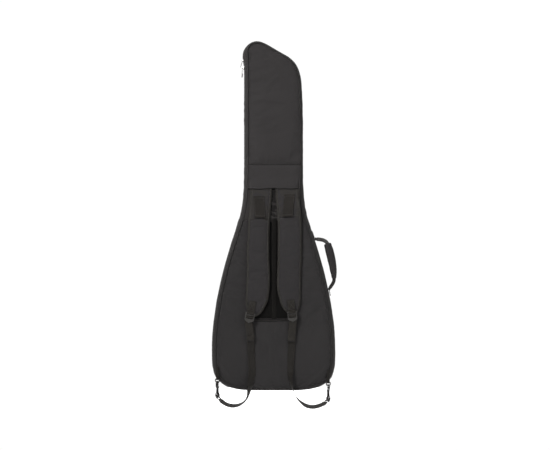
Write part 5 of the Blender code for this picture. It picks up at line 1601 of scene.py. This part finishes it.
o = tube_grid("handle_grip_wrap", np.array(rings), STRAPF)
place(o, "carry_handle", "panel_nylon", "handle_grip")
for nm, start, direction, ln in (("upper", HANDLE_TOP, (-0.316, 0.949), 0.028),
                                 ("lower", HANDLE_LOW, (0.200, -0.980), 0.026)):
    d = np.array([direction[0], 0, direction[1]])
    d /= np.linalg.norm(d)
    outw = np.array([d[2], 0, -d[0]]) if d[2] > 0 else np.array([-d[2], 0, d[0]])
    a = np.array([start[0], HANDLE_Y, start[1]]) + outw * 0.0018
    pts = a + d * (ln * np.linspace(-0.06, 1, 18))[:, None] + outw * 0.0004
    o = flat_band(f"handle_anchor_{nm}_end", pts, FORWARD, WEB_W, WEB_T, WEBBING)
    place(o, "back_shell", "webbing", f"handle_anchor_{nm}")
    c0, c1 = a + d * ln * 0.12 + outw * 0.0013, a + d * ln * 0.90 + outw * 0.0013
    yv = np.array([0, 0.0098, 0])
    box_stitch("back", [c0 - yv, c0 + yv, c1 + yv, c1 - yv], outw)

build_stitches({"back": "back_shell", "front": "front_shell", "strap_left": "strap_left",
                "strap_right": "strap_right", "buckle_left": "buckle_left", "buckle_right": "buckle_right"})

# ------------------------------------------------------------------ camera, light, floor
scene = bpy.context.scene
scene.view_settings.view_transform = "Standard"
cam_data = bpy.data.cameras.new("camera")
cam_data.lens, cam_data.sensor_width = 85, 36
cam_data.clip_end = 60
cam = bpy.data.objects.new("camera", cam_data)
cam.location = (0.005, -4.595, -0.621)
cam.rotation_euler = (math.pi / 2, 0, 0)
scene.collection.objects.link(cam)
scene.camera = cam

world = bpy.data.worlds.new("studio")
scene.world = world
world.use_nodes = True
nt = world.node_tree
bg = nt.nodes["Background"]
# paler to the camera than the light it gives, here and on the floor
lp = nt.nodes.new("ShaderNodeLightPath")
nt.links.new(add(nt, mul(nt, lp.outputs["Is Camera Ray"], 0.88), 0.14),
             bg.inputs["Strength"])
bg.inputs["Color"].default_value = (1.0, 1.0, 1.0, 1)


def light(name, place, target, size, power, spread=180):
    d = bpy.data.lights.new(name, "AREA")
    d.shape, d.size, d.energy = "DISK", size, power
    d.spread = math.radians(spread)
    o = bpy.data.objects.new(name, d)
    o.location = place
    o.rotation_euler = (Vector(target) - Vector(place)).to_track_quat("-Z", "Y").to_euler()
    scene.collection.objects.link(o)


light("key", (-1.6, -2.25, 1.0), (-0.02, 0, -0.36), 1.0, 10, spread=52)
light("fill", (2.6, -2.4, 0.4), (0, 0, -0.35), 2.2, 30)
light("side_right", (3.0, -0.9, 0.3), (0.1, 0, -0.55), 1.2, 14)
light("side_left", (-3.2, 0.5, 0.5), (-0.1, 0, -0.55), 1.2, 14)
light("back_left", (-2.4, 2.8, 1.2), (0, 0, -0.6), 2.0, 75)
light("back_right", (2.4, 2.6, 1.4), (0, 0, -0.6), 2.0, 75)

m, nt, b = new_material("pale_floor")
tc = nt.nodes.new("ShaderNodeTexCoord")
n = noise_node(nt, tc.outputs["Object"], 0.8, 2.0)
nt.links.new(ramp(nt, n, [(0.3, (0.93, 0.93, 0.93)), (0.7, (0.95, 0.95, 0.95))]), b.inputs["Base Color"])
b.inputs["Roughness"].default_value = 0.9
b.inputs["Emission Color"].default_value = (1, 1, 1, 1)
lp = nt.nodes.new("ShaderNodeLightPath")
nt.links.new(add(nt, mul(nt, lp.outputs["Is Camera Ray"], 0.60), 0.30),
             b.inputs["Emission Strength"])
FLOOR_RADIUS, FLOOR_Z = 0.85, -1.300
turns = np.linspace(0, 2 * math.pi, 97)[:-1]
ring = xyz(FLOOR_RADIUS * np.cos(turns), FLOOR_RADIUS * np.sin(turns), HANG_Z + FLOOR_Z)
floor = obj_from("floor", ring, [tuple(range(96))], m, smooth=False)
